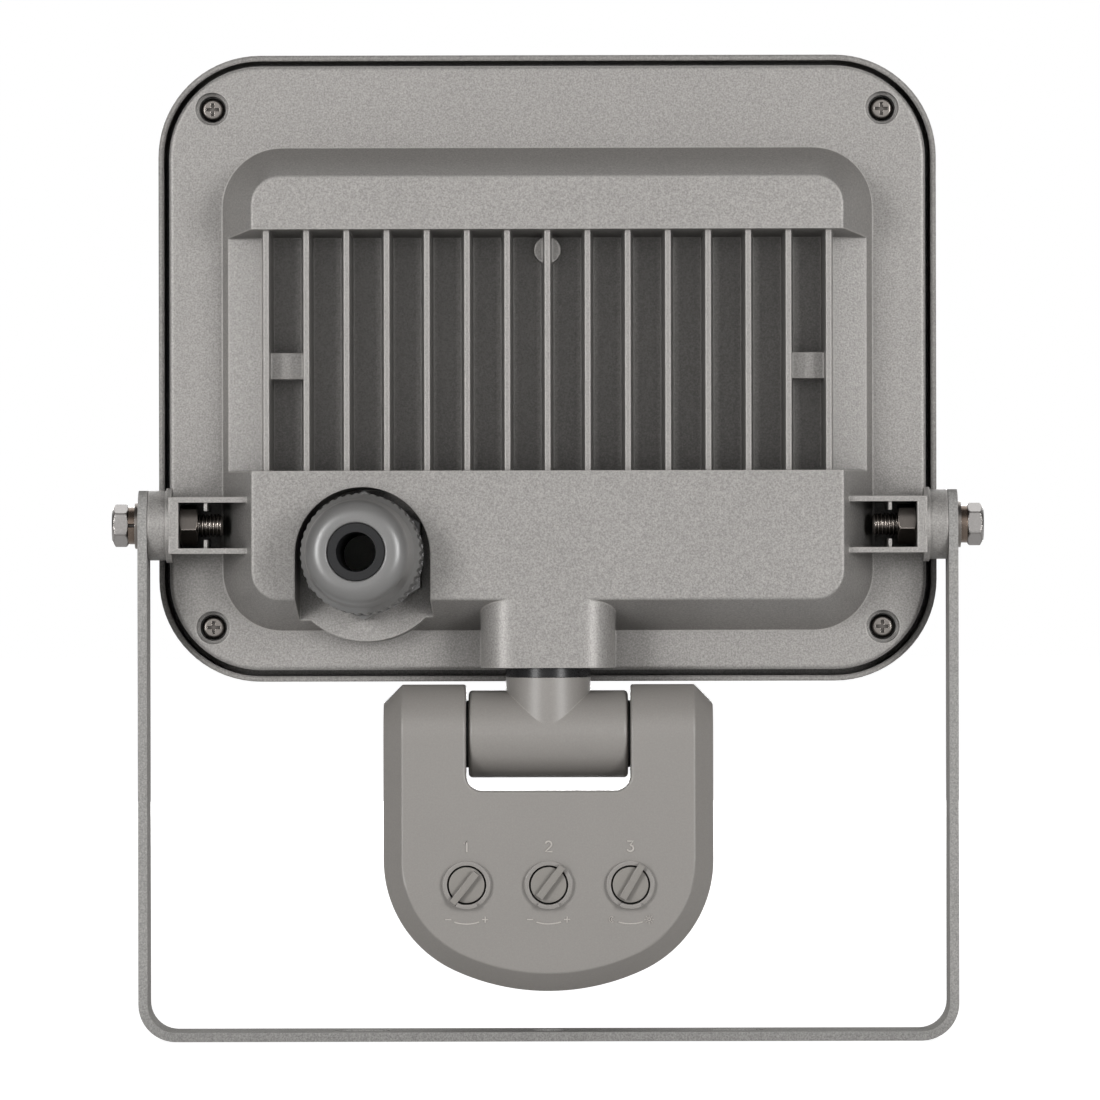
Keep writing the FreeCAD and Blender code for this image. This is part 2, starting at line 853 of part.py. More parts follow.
def add_fins(body):
    """Pocket through the plateau with drafted fins, sloping shelves, tie blocks and a pin mark."""
    half = s.plateau_width / 2 + PAST
    open_top = plateau_top + PAST
    drift = (plateau_top - s.fin_floor) * tan_of(s.fin_end_draft)
    sketch = new_sketch(body, "YZ", -half)
    add_outline(sketch, [
        (s.fin_floor, s.fin_low), (open_top, s.fin_low),
        (open_top, s.fin_high + tan_of(s.fin_end_draft) * PAST),
        (s.fin_floor, s.fin_high - drift)])
    span(body, "Pocket", sketch, "YZ", -half, half)
    fin_level = plateau_top - s.fin_drop
    low = s.fin_low - BITE
    first = -(s.fin_pitch * (s.fin_count - 1) / 2)
    sketch = new_sketch(body, "XY", low)
    add_outline(sketch, [
        (first - s.fin_root / 2, s.fin_floor - BITE),
        (first + s.fin_root / 2, s.fin_floor - BITE),
        (first + s.fin_tip / 2, fin_level), (first - s.fin_tip / 2, fin_level)])
    fin = span(body, "Pad", sketch, "XY", low, s.fin_high)
    row = body.newObject("PartDesign::LinearPattern", "housing_fin_row")
    row.Originals = [fin]
    row.Direction = (sketch.sketch, ["H_Axis"])
    bind(row, "Length", s.fin_pitch * (s.fin_count - 1))
    bind(row, "Occurrences", s.fin_count)
    body.Tip = row
    outer = -first
    shelf_high = s.fin_high - drift - s.shelf_drop * tan_of(s.fin_end_draft)
    for side in (1, -1):
        sketch = new_sketch(body, "XY", s.fin_low)
        add_outline(sketch, [
            ((outer + s.fin_root / 2) * side, s.fin_floor),
            (s.plateau_width / 2 * side, s.fin_floor - s.shelf_drop),
            (s.plateau_width / 2 * side, s.fin_floor)])
        span(body, "Pocket", sketch, "XY", s.fin_low, shelf_high)
        pad_box(body, "XZ", s.fin_floor - BITE, s.tie_level,
                (outer - s.fin_pitch) * side if side > 0 else -outer,
                outer if side > 0 else (outer - s.fin_pitch) * side,
                s.tie_low, s.tie_high)
    pad_round(body, "XZ", s.fin_floor - BITE, s.pin_mark_level,
              [(zero, s.pin_mark_height)], s.pin_mark_radius)


def add_channel(body, side):
    """Open channel for the pivot nut on one side, with its ear and bolt hole."""
    pivot = s.pivot_height

    def across(near, far):
        """Low and high x of a stretch, on this side."""
        return (near, far) if side > 0 else (-far, -near)

    inner_half = s.channel_half - s.channel_wall
    pad_box(body, "XZ", floor_level, s.channel_floor - s.wall,
            *across(s.channel_floor_start - s.wall, s.flange_width / 2 - s.wall / 2),
            pivot - inner_half - s.wall, pivot + inner_half + s.wall)
    base = s.flange_level - BITE
    for low, high in ((inner_half, s.channel_half), (-s.channel_half, -inner_half)):
        pad_box(body, "XZ", base, s.channel_level,
                *across(s.channel_inner_end, s.channel_end_outside), pivot + low, pivot + high)
    pad_box(body, "XZ", base, s.channel_level,
            *across(s.channel_end_inside, s.channel_end_outside),
            pivot - s.channel_half, pivot + s.channel_half)
    cut_box(body, "XZ", s.channel_level + PAST, s.channel_floor,
            *across(s.channel_floor_start, s.channel_end_inside),
            pivot - inner_half, pivot + inner_half)
    rib_end = inner_half + BITE
    for low, high in ((s.rib_half_gap, rib_end), (-rib_end, -s.rib_half_gap)):
        pad_box(body, "XZ", s.channel_floor - BITE, s.rib_level,
                *across(s.rib_start, s.rib_start + s.rib_thick), pivot + low, pivot + high)
    centre = [(zero, pivot)]
    pad_round(body, "YZ", (s.channel_end_outside - BITE) * side,
              (s.channel_end_outside + s.ear_lip_thick) * side, centre, s.ear_lip_radius)
    pad_round(body, "YZ", s.channel_end_outside * side, ear_face * side, centre, s.ear_radius)
    cut_round(body, "YZ", (ear_face + PAST) * side, (s.channel_end_inside - BITE) * side,
              centre, s.pivot_hole_radius)


def screw_places():
    """The four corner screws: x and z of each."""
    places = []
    for side in (1, -1):
        for height in (1, -1):
            places.append((s.screw_spread_x / 2 * side,
                           s.lamp_height + s.screw_spread_z / 2 * height))
    return places


def add_screw_posts(body):
    """Posts inside the corners, and the stepped holes for the corner screws."""
    places = screw_places()
    pad_round(body, "XZ", floor_level + BITE, s.post_meeting, places, s.screw_post_radius)
    cut_round(body, "XZ", s.flange_level + PAST, s.flange_level - s.screw_recess_depth, places,
              s.screw_recess_radius)
    cut_round(body, "XZ", s.flange_level, screw_seat, places, s.screw_seat_radius)
    cut_round(body, "XZ", s.flange_level, s.post_meeting - PAST, places,
              s.screw_radius + s.screw_clearance)
    cut_round(body, "XZ", s.post_meeting, s.rim_front - PAST, places,
              s.frame_post_radius + s.post_clearance)


def driver_posts():
    """The two posts that carry the driver board: x and z of each."""
    height = (s.cavity_low + s.cavity_high) / 2
    return [(s.cavity_left + s.driver_post_inset, height),
            (s.cavity_right - s.driver_post_inset, height)]


def cut_cavities(body):
    """Inner room for the driver, the gland's inner end and the nut of the swivel arm."""
    cut_box(body, "XZ", floor_level - PAST, s.cavity_level, s.cavity_left, s.cavity_right,
            s.cavity_low, s.cavity_high)
    pad_round(body, "XZ", s.cavity_level + BITE, s.driver_board_level, driver_posts(),
              s.driver_post_radius)
    cut_round(body, "XZ", s.driver_board_level - PAST, s.cavity_level - s.driver_screw_depth,
              driver_posts(),
              s.screw_radius)
    seat_inside = s.gland_pad_level - s.wall
    room = body.newObject("PartDesign::Pocket", "housing_gland_room")
    sketch = lean_sketch(body, floor_level - PAST * 2)
    add_circle(sketch, 0, 0, s.gland_room_radius)
    room.Profile = sketch.finish()
    bind(room, "Length", seat_inside - floor_level + PAST * 2)
    hole = body.newObject("PartDesign::Pocket", "housing_gland_hole")
    sketch = lean_sketch(body, floor_level - PAST * 2)
    add_circle(sketch, 0, 0, s.gland_thread_radius + s.gland_hole_clearance)
    hole.Profile = sketch.finish()
    bind(hole, "Length", s.gland_pad_level - floor_level + PAST * 4)
    room_half = s.boss_half - s.boss_wall
    cut_box(body, "XZ", floor_level - PAST, plateau_top - s.boss_rear_wall, -room_half,
            room_half, boss_floor, s.cavity_low + PAST)
    axis = [(zero, s.stem_y)]
    cut_round(body, "XY", boss_floor + PAST, s.boss_low - PAST, axis,
              s.stem_neck_radius + s.running_clearance)
    cut_round(body, "XY", s.boss_low, s.boss_low - PAST, axis,
              s.stem_seal_radius + s.stem_seal_clearance)
    cut_round(body, "XZ", floor_level - PAST, floor_level + s.board_screw_length,
              board_screw_places(), s.screw_radius)


def board_screw_places():
    """The four screws of the light board: x and z of each."""
    places = []
    for side in (1, -1):
        places.append((s.board_screw_x * side, s.board_screw_high))
        places.append((s.board_screw_x * side, s.board_screw_low))
    return places


def make_front_frame():
    """Front frame: outer wall, front plate with the window and glass rebate, corner posts."""
    body = new_part("front_frame")
    sketch = new_sketch(body, "XZ", s.frame_rear)
    add_centred_outline(sketch, s.lamp_height, s.frame_width, s.frame_tall, s.frame_corner)
    outer = span(body, "Pad", sketch, "XZ", s.frame_rear, s.frame_front)
    dress(body, "Chamfer", outer, edge_at_level(s.frame_front), s.frame_front_chamfer)
    sketch = new_sketch(body, "XZ", s.frame_rear)
    add_centred_outline(sketch, s.lamp_height, s.frame_width - s.frame_wall * 2,
                        s.frame_tall - s.frame_wall * 2, s.frame_corner - s.frame_wall)
    span(body, "Pocket", sketch, "XZ", s.frame_rear, s.frame_plate_rear)
    sketch = new_sketch(body, "XZ", s.frame_plate_rear)
    rebate = s.glass_overlap * 2 + s.glass_clearance * 2
    add_centred_outline(sketch, s.lamp_height, s.window_width + rebate,
                        s.window_tall + rebate, s.window_corner + s.glass_overlap)
    span(body, "Pocket", sketch, "XZ", s.frame_plate_rear, rebate_floor)
    sketch = new_sketch(body, "XZ", rebate_floor)
    add_centred_outline(sketch, s.lamp_height, s.window_width, s.window_tall, s.window_corner)
    span(body, "Pocket", sketch, "XZ", rebate_floor, s.frame_front - PAST)
    places = screw_places()
    pad_round(body, "XZ", s.frame_plate_rear - BITE, s.post_meeting - s.post_gap, places,
              s.frame_post_radius)
    cut_round(body, "XZ", s.post_meeting, s.frame_plate_rear + PAST, places, s.screw_radius)


def make_ring(label, rear, front, width, tall, corner, thick):
    """Flat rounded-rectangle ring."""
    body = new_part(label)
    sketch = new_sketch(body, "XZ", rear)
    add_centred_outline(sketch, s.lamp_height, width, tall, corner)
    span(body, "Pad", sketch, "XZ", rear, front)
    sketch = new_sketch(body, "XZ", rear + PAST)
    add_centred_outline(sketch, s.lamp_height, width - thick * 2, tall - thick * 2,
                        corner - thick)
    span(body, "Pocket", sketch, "XZ", rear + PAST, front - PAST)
    return body


def make_glazing():
    """Glass pane, the gasket under its edge and the gasket of the housing rim."""
    body = new_part("front_glass")
    sketch = new_sketch(body, "XZ", s.frame_plate_rear)
    add_centred_outline(sketch, s.lamp_height, s.window_width + s.glass_overlap * 2,
                        s.window_tall + s.glass_overlap * 2,
                        s.window_corner + s.glass_overlap)
    span(body, "Pad", sketch, "XZ", s.frame_plate_rear, glass_front)
    make_ring("glass_gasket", glass_front, rebate_floor, s.window_width + s.glass_overlap * 2,
              s.window_tall + s.glass_overlap * 2, s.window_corner + s.glass_overlap,
              s.glass_overlap)
    body = make_ring("rim_gasket", s.rim_front, s.frame_plate_rear, s.flange_width,
                     s.flange_tall, s.flange_corner, s.wall)
    cut_round(body, "XZ", s.rim_front + PAST, s.frame_plate_rear - PAST, screw_places(),
              s.frame_post_radius + s.post_clearance)


def make_reflector():
    """Tapered reflector tray whose flange clamps the glass against its gasket."""
    body = new_part("reflector")
    front = s.frame_plate_rear
    width = s.window_width + s.glass_overlap * 2 + s.reflector_flange * 2
    tall = s.window_tall + s.glass_overlap * 2 + s.reflector_flange * 2
    pane = s.window_width + s.glass_overlap
    pane_tall = s.window_tall + s.glass_overlap
    rear = front + s.reflector_depth
    sketch = new_sketch(body, "XZ", front)
    add_centred_outline(sketch, s.lamp_height, width, tall, s.window_corner * 2)
    span(body, "Pad", sketch, "XZ", front, front + s.reflector_wall)
    sketch = new_sketch(body, "XZ", front)
    add_centred_outline(sketch, s.lamp_height, pane, pane_tall, s.window_corner * 2)
    span(body, "Pad", sketch, "XZ", front, rear, s.reflector_draft)
    sketch = new_sketch(body, "XZ", front - SLIVER)
    trim = s.reflector_wall * 2 / cos_of(s.reflector_draft)
    add_centred_outline(sketch, s.lamp_height, pane - trim, pane_tall - trim,
                        s.window_corner * 2 - s.reflector_wall)
    span(body, "Pocket", sketch, "XZ", front - SLIVER, rear + SLIVER, s.reflector_draft)


def make_light_board():
    """Aluminium light board on the housing floor, its chips and its four screws."""
    body = new_part("led_board")
    board_front = floor_level - s.board_thick
    sketch = new_sketch(body, "XZ", floor_level)
    add_centred_outline(sketch, s.lamp_height, s.led_board_width, s.led_board_tall,
                        s.led_board_corner)
    span(body, "Pad", sketch, "XZ", floor_level, board_front)
    cut_round(body, "XZ", floor_level + PAST, board_front - PAST, board_screw_places(),
              s.screw_radius + s.screw_clearance)
    make_chips(board_front)
    make_board_screws("board_screws", board_screw_places(), board_front)


def make_chips(board_front):
    """Rows of light chips on the board, as one group of separate blocks."""
    left = -(s.led_pitch_x * (s.led_columns - 1) / 2) - s.led_size / 2
    low = s.lamp_height - s.led_pitch_z * (s.led_rows - 1) / 2 - s.led_size / 2
    chips = []
    for column in range(int(s.led_columns.value)):
        for row in range(int(s.led_rows.value)):
            chip = doc.addObject("Part::Box", "chip")
            bind(chip, "Length", s.led_size)
            bind(chip, "Width", s.led_thick)
            bind(chip, "Height", s.led_size)
            bind(chip, "Placement.Base.x", left + s.led_pitch_x * column)
            bind(chip, "Placement.Base.y", board_front - s.led_thick)
            bind(chip, "Placement.Base.z", low + s.led_pitch_z * row)
            chips.append(chip)
    group = doc.addObject("Part::Compound", "led_chips")
    group.Label = "led_chips"
    group.Links = chips
    parts.append(group)


def make_board_screws(label, places, seat):
    """Screws of a board: heads in front of the board, shanks into the housing behind it."""
    body = new_part(label)
    pad_round(body, "XZ", seat, seat - s.screw_head_tall, places, s.screw_head_radius)
    pad_round(body, "XZ", seat, seat + s.board_screw_length, places,
              s.screw_radius - s.thread_clearance)


def make_corner_screws():
    """The four screws that hold the front frame to the housing."""
    body = new_part("corner_screws")
    places = screw_places()
    top = screw_seat + s.screw_head_tall
    head = pad_round(body, "XZ", screw_seat, top, places, s.screw_head_radius)
    dress(body, "Fillet", head, edge_at_level(top), s.screw_head_round)
    pad_round(body, "XZ", screw_seat, screw_seat - s.screw_length, places,
              s.screw_radius - s.thread_clearance)
    for wide, high in ((s.screw_cross_reach, s.screw_cross_half),
                       (s.screw_cross_half, s.screw_cross_reach)):
        sketch = new_sketch(body, "XZ", top + PAST)
        for x, z in places:
            add_box_outline(sketch, x - wide, x + wide, z - high, z + high)
        span(body, "Pocket", sketch, "XZ", top + PAST, top - s.screw_cross_depth)


def make_driver():
    """Driver board with its transformer, capacitors and the mains terminal block."""
    left = s.cavity_left + s.driver_margin
    right = s.cavity_right - s.driver_margin
    low = s.cavity_low + s.driver_margin
    high = s.cavity_high - s.driver_margin
    rear = s.driver_board_level
    front = rear - s.board_thick
    middle = (low + high) / 2
    body = new_part("driver_board")
    pad_box(body, "XZ", rear, front, left, right, low, high)
    cut_round(body, "XZ", rear + PAST, front - PAST, driver_posts(),
              s.screw_radius + s.screw_clearance)
    make_board_screws("driver_screws", driver_posts(), front)
    centre = left + s.coil_place
    make_transformer(rear, centre, middle)
    body = new_part("capacitors")
    pad_round(body, "XZ", rear, rear + s.capacitor_length,
              [(centre + s.capacitor_near, middle + s.capacitor_up),
               (centre + s.capacitor_far, middle - s.capacitor_down)], s.capacitor_radius)
    body = new_part("terminal_block")
    start = centre + s.terminal_place
    top = rear + s.terminal_deep
    pad_box(body, "XZ", rear, top, start, start + s.terminal_width, low + s.terminal_low,
            high - s.terminal_high)
    bores = [(start + s.terminal_width / 2, low + s.terminal_bore_low + s.terminal_spacing * i)
             for i in range(2)]
    cut_round(body, "XZ", top + PAST, top - s.terminal_bore_depth, bores,
              s.terminal_bore_radius)


def make_transformer(rear, centre, middle):
    """Two core plates with the coil between them, on the driver board."""
    body = new_part("transformer")
    level = rear
    for thick, width, tall in ((s.core_thick, s.core_width, s.core_tall),
                               (s.coil_thick, s.coil_width, s.coil_tall),
                               (s.core_thick, s.core_width, s.core_tall)):
        pad_box(body, "XZ", level, level + thick, centre - width / 2, centre + width / 2,
                middle - tall / 2, middle + tall / 2)
        level = level + thick


def make_pivot_set(side):
    """Bolt, washers and nut on one side of the lamp, drawn along +X and turned for the left."""
    name = "right" if side > 0 else "left"
    leg_face = s.bracket_half
    washer_end = leg_face + s.flat_washer_thick
    spring_end = washer_end + s.spring_washer_thick
    head_end = spring_end + s.bolt_head_tall
    axis = [(zero, zero)]

    def part(kind):
        body = new_part("%s_%s" % (kind, name))
        place(body, z=s.pivot_height)
        if side < 0:
            body.Placement.Rotation = FreeCAD.Rotation(V(0, 0, 1), 180)
        return body

    body = part("flat_washer")
    pad_round(body, "YZ", leg_face, washer_end, axis, s.flat_washer_radius)
    cut_round(body, "YZ", leg_face - PAST, washer_end + PAST, axis, s.washer_bore_radius)
    body = part("spring_washer")
    pad_round(body, "YZ", washer_end, spring_end, axis, s.spring_washer_radius)
    cut_round(body, "YZ", washer_end - PAST, spring_end + PAST, axis, s.washer_bore_radius)
    cut_box(body, "YZ", washer_end - PAST, spring_end + PAST, s.washer_bore_radius - PAST,
            s.spring_washer_radius + PAST, -(s.spring_washer_cut / 2),
            s.spring_washer_cut / 2)
    body = part("pivot_bolt")
    sketch = new_sketch(body, "YZ", spring_end)
    add_hexagon(sketch, s.bolt_head_flats, s.bolt_head_turn * side)
    span(body, "Pad", sketch, "YZ", spring_end, head_end)
    round_hexagon(body, head_end, -1)
    pad_round(body, "YZ", spring_end, spring_end - s.bolt_length, axis, s.bolt_radius)
    body = part("pivot_nut")
    nut_end = s.channel_end_inside - s.pivot_nut_tall
    sketch = new_sketch(body, "YZ", s.channel_end_inside)
    add_hexagon(sketch, s.bolt_head_flats, s.pivot_nut_turn * side)
    span(body, "Pad", sketch, "YZ", s.channel_end_inside, nut_end)
    round_hexagon(body, s.channel_end_inside, -1)
    round_hexagon(body, nut_end, 1)
    cut_round(body, "YZ", s.channel_end_inside + PAST, nut_end - PAST, axis,
              s.bolt_radius + s.pivot_nut_clearance)


def round_hexagon(body, face, inward):
    """Turns the corners of a hexagon along X down to the usual cone at one of its faces."""
    reach = s.bolt_head_flats / math.sqrt(3) + PAST
    flat = s.bolt_head_flats / 2 * s.hexagon_face_ratio
    drop = (reach - flat) * tan_of(s.hexagon_cone_angle)
    sketch = new_sketch(body, "XY", 0)
    add_outline(sketch, [(face, flat), (face, reach), (face + drop * inward, reach)])
    cone = body.newObject("PartDesign::Groove", "%s_cone" % body.Label)
    cone.Profile = sketch.finish()
    cone.ReferenceAxis = (sketch.sketch, ["H_Axis"])
    cone.Angle = 360


def gland_part(label):
    """A piece of the gland, drawn about its own Y axis and set on the leaning axis."""
    body = new_part(label)
    place(body, s.gland_x, s.gland_pad_level, s.gland_height)
    bind(body, "Placement.Rotation.Yaw", -s.gland_lean)
    bind(body, "Placement.Rotation.Roll", s.gland_rise)
    return body


def make_gland():
    """Cable gland: washer, hexagon body, ribbed dome nut, rubber seal and inner locknut."""
    centre = [(zero, zero)]
    seat = s.gland_washer_thick
    hex_top = seat + s.gland_hex_tall
    start = hex_top + s.gland_nut_gap
    tip = start + s.gland_nut_tall
    body = gland_part("gland_washer")
    pad_round(body, "XZ", 0, seat, centre, s.gland_washer_radius)
    cut_round(body, "XZ", -PAST, seat + PAST, centre,
              s.gland_thread_radius + s.gland_washer_clearance)
    body = gland_part("gland_body")
    sketch = new_sketch(body, "XZ", seat)
    add_hexagon(sketch, s.gland_hex_flats, s.gland_hex_turn)
    span(body, "Pad", sketch, "XZ", seat, hex_top)
    inner_end = -(s.wall + s.gland_locknut_tall + s.gland_thread_end)
    pad_round(body, "XZ", seat, inner_end, centre, s.gland_thread_radius - s.thread_clearance)
    pad_round(body, "XZ", hex_top, hex_top + s.gland_tube_length, centre, s.gland_tube_radius)
    cut_round(body, "XZ", inner_end - PAST, tip, centre,
              s.gland_seal_radius + s.gland_seal_clearance)
    make_gland_nut(start, tip)
    body = gland_part("gland_seal")
    inside = tip - s.gland_seal_lead - s.gland_seal_length
    revolve(body, [
        (s.gland_cable_radius, inside), (s.gland_seal_radius, inside),
        (s.gland_seal_radius, tip - s.gland_seal_face),
        (s.gland_cable_radius + s.gland_seal_flare, tip - s.gland_seal_face),
        (s.gland_cable_radius, tip - s.gland_seal_lead)])
    body = gland_part("gland_locknut")
    sketch = new_sketch(body, "XZ", -s.wall)
    add_hexagon(sketch, s.gland_hex_flats, s.gland_hex_turn)
    lock_end = -(s.wall + s.gland_locknut_tall)
    span(body, "Pad", sketch, "XZ", -s.wall, lock_end)
    cut_round(body, "XZ", zero, lock_end - PAST, centre, s.gland_thread_radius)


def make_gland_nut(start, tip):
    """Dome nut of the gland, with a row of grooves round its foot."""
    body = gland_part("gland_nut")
    bore = s.gland_tube_radius + s.thread_clearance
    revolve(body, [
        (bore, start), (s.gland_nut_radius, start, s.gland_foot_round),
        (s.gland_nut_radius, start + s.gland_rib_tall, s.gland_rib_round),
        (s.gland_shoulder_radius, start + s.gland_rib_tall + s.gland_shoulder_tall,
         s.gland_shoulder_round),
        (s.gland_dome_radius, tip, s.gland_dome_round),
        (s.gland_mouth_radius, tip, s.gland_mouth_round),
        (s.gland_mouth_radius, tip - s.gland_mouth_depth),
        (bore, tip - s.gland_cone_depth)])
    groove = cut_round(body, "XZ", start + s.gland_collar_tall, start + s.gland_rib_tall + BITE,
                       [(s.gland_nut_radius + s.gland_groove_offset, zero)],
                       s.gland_groove_radius)
    ribs = body.newObject("PartDesign::PolarPattern", "gland_nut_ribs")
    ribs.Originals = [groove]
    ribs.Axis = (groove.Profile[0], ["N_Axis"])
    ribs.Angle = 360
    bind(ribs, "Occurrences", s.gland_rib_count)
    body.Tip = ribs


def make_arm():
    """Swivel arm: stem, barrel and trunnions in one moulding, with its bore for the leads."""
    body = new_part("swivel_arm")
    axis = [(zero, s.stem_y)]
    barrel = [(s.stem_y, s.barrel_height)]
    end = s.barrel_half + s.hub_gap + s.trunnion_length
    bar = pad_round(body, "YZ", -s.barrel_half, s.barrel_half, barrel, s.barrel_radius)

    def barrel_end(edge):
        return (edge_at_level(s.barrel_half, "x")(edge)
                or edge_at_level(-s.barrel_half, "x")(edge))

    dress(body, "Fillet", bar, barrel_end, s.barrel_end_round)
    pad_round(body, "XY", s.barrel_height, stem_top, axis, s.stem_radius)
    pad_round(body, "YZ", -end, end, barrel, s.trunnion_radius)
    neck_end = boss_floor + s.stem_nut_tall + s.stem_thread_end
    pad_round(body, "XY", stem_top, neck_end, axis, s.stem_neck_radius)
    cut_round(body, "XY", neck_end + PAST, s.barrel_height, axis, s.lead_bore_radius)
    cut_round(body, "YZ", zero, end + PAST, barrel, s.lead_bore_radius)
    for side, name in ((1, "right"), (-1, "left")):
        body = new_part("hub_washer_%s" % name)
        near = (s.barrel_half + s.running_clearance) * side
        far = (s.barrel_half + s.hub_gap - s.running_clearance) * side
        pad_round(body, "YZ", near, far, barrel, s.hub_radius)
        cut_round(body, "YZ", near - PAST * side, far + PAST * side, barrel,
                  s.trunnion_radius + s.running_clearance)
    body = new_part("stem_seal")
    pad_round(body, "XY", stem_top, s.boss_low, axis, s.stem_seal_radius)
    cut_round(body, "XY", stem_top - PAST, s.boss_low + PAST, axis,
              s.stem_neck_radius + s.running_clearance)
    body = new_part("stem_nut")
    place(body, y=s.stem_y)
    nut_start = boss_floor + s.running_clearance
    nut_end = nut_start + s.stem_nut_tall
    sketch = new_sketch(body, "XY", nut_start)
    add_hexagon(sketch, s.stem_nut_flats)
    span(body, "Pad", sketch, "XY", nut_start, nut_end)
    cut_round(body, "XY", nut_end + PAST, boss_floor - PAST, [(zero, zero)],
              s.stem_neck_radius)


def cut_slot(body, rear, front):
    """Notch that takes the barrel of the swivel arm, from the rear level to the front one."""
    slot = s.barrel_half + s.hub_gap
    high = s.barrel_height + s.head_ear_radius + PAST
    sketch = new_sketch(body, "XZ", rear)
    add_outline(sketch, [
        (-slot, s.head_slot_low, s.head_slot_corner), (slot, s.head_slot_low, s.head_slot_corner),
        (slot, high), (-slot, high)])
    return span(body, "Pocket", sketch, "XZ", rear, front)


def make_head_shell():
    """Rear shell of the sensor head, with its ears, collars and board posts."""
    body = new_part("sensor_rear_shell")
    parting = s.stem_y
    sketch = new_sketch(body, "XZ", parting)
    add_shield(sketch, s.head_half, s.barrel_height, s.head_low, s.head_corner,
               s.head_bottom_radius)
    span(body, "Pad", sketch, "XZ", parting, head_rear)
    barrel = [(s.stem_y, s.barrel_height)]
    ears = pad_round(body, "YZ", -s.head_half, s.head_half, barrel, s.head_ear_radius)
    above = s.barrel_height.value + PAST

    def rear_outline(edge):
        box = edge.BoundBox
        if edge_at_level(head_rear)(edge):
            return box.ZMin < s.barrel_height.value - PAST
        side = abs(abs(box.Center.x) - s.head_half.value) < 1e-4
        return side and box.XLength < 1e-4 and box.ZMax > above

    dress(body, "Chamfer", ears, rear_outline, s.head_bevel)
    slot = cut_slot(body, head_rear + PAST, s.stem_y - s.head_ear_radius - PAST)
    slot_half = s.barrel_half.value + s.hub_gap.value

    def slot_rim(edge):
        box = edge.BoundBox
        inside = abs(box.Center.x) < slot_half + 1e-4
        if edge_at_level(head_rear)(edge):
            return inside
        side = abs(abs(box.Center.x) - slot_half) < 1e-4 and box.XLength < 1e-4
        return side and box.ZMax > above

    dress(body, "Fillet", slot, slot_rim, s.head_slot_round)
    bore_end = s.barrel_half + s.hub_gap + s.trunnion_length + s.trunnion_end_gap
    cut_round(body, "YZ", -bore_end, bore_end, barrel, s.trunnion_radius + s.running_clearance)
    sketch = new_sketch(body, "XZ", parting)
    inset = s.head_wall + s.head_bevel / 2
    add_shield(sketch, s.head_half - inset, s.head_slot_low - s.head_wall,
               s.head_low + inset, s.head_corner - inset, s.head_bottom_radius - inset)
    inside = head_rear - s.head_wall
    span(body, "Pocket", sketch, "XZ", parting, inside)
    knobs = [(x, s.knob_height) for name, x, angle in knob_places]
    pad_round(body, "XZ", head_rear - BITE, collar_level, knobs, s.collar_radius)
    cut_round(body, "XZ", collar_level + PAST, inside - PAST, knobs, s.collar_bore_radius)
    for name, x, angle in knob_places:
        add_stop(body, x)
    posts = sensor_posts()
    pad_round(body, "XZ", inside + BITE, s.sensor_board_rear, posts, s.sensor_post_radius)
    cut_round(body, "XZ", s.sensor_board_rear - PAST,
              s.sensor_board_rear + s.sensor_screw_length, posts,
              s.sensor_screw_radius + s.thread_clearance)


def add_stop(body, x):
    """Raised stop segment of a collar, below the knob."""
    base = collar_level - BITE
    sketch = new_sketch(body, "XZ", base)
    half = math.radians(s.stop_half_angle.value)
    outer = s.collar_radius.value
    inner = s.collar_bore_radius.value
    centre = V(x.value, s.knob_height.value, 0)
    first = -math.pi / 2 - half
    last = -math.pi / 2 + half
    big = Part.ArcOfCircle(Part.Circle(centre, V(0, 0, 1), outer), first, last)
    small = Part.ArcOfCircle(Part.Circle(centre, V(0, 0, 1), inner), first, last)
    outer_arc = sketch.add(big)
    inner_arc = sketch.add(small)
    first_end = sketch.add(Part.LineSegment(small.StartPoint, big.StartPoint))
    last_end = sketch.add(Part.LineSegment(small.EndPoint, big.EndPoint))
    sketch.tie("Coincident", outer_arc, 3, inner_arc, 3)
    sketch.tie("Coincident", first_end, 1, inner_arc, 1)
    sketch.tie("Coincident", first_end, 2, outer_arc, 1)
    sketch.tie("Coincident", last_end, 1, inner_arc, 2)
    sketch.tie("Coincident", last_end, 2, outer_arc, 2)
    sketch.radius(outer_arc, s.collar_radius)
    sketch.radius(inner_arc, s.collar_bore_radius)
    sketch.at_point(outer_arc, 3, x, s.knob_height)
    for arc, radius in ((outer_arc, s.collar_radius), (inner_arc, s.collar_bore_radius)):
        sketch.across(arc, 1, x - radius * sin_of(s.stop_half_angle))
        sketch.across(arc, 2, x + radius * sin_of(s.stop_half_angle))
    span(body, "Pad", sketch, "XZ", base, collar_level + s.stop_rise)


def sensor_posts():
    """The two posts that carry the sensor board: x and z of each."""
    side = s.sensor_board_width / 2 - s.sensor_post_inset
    height = s.knob_height + s.sensor_post_rise
    return [(side, height), (-side, height)]


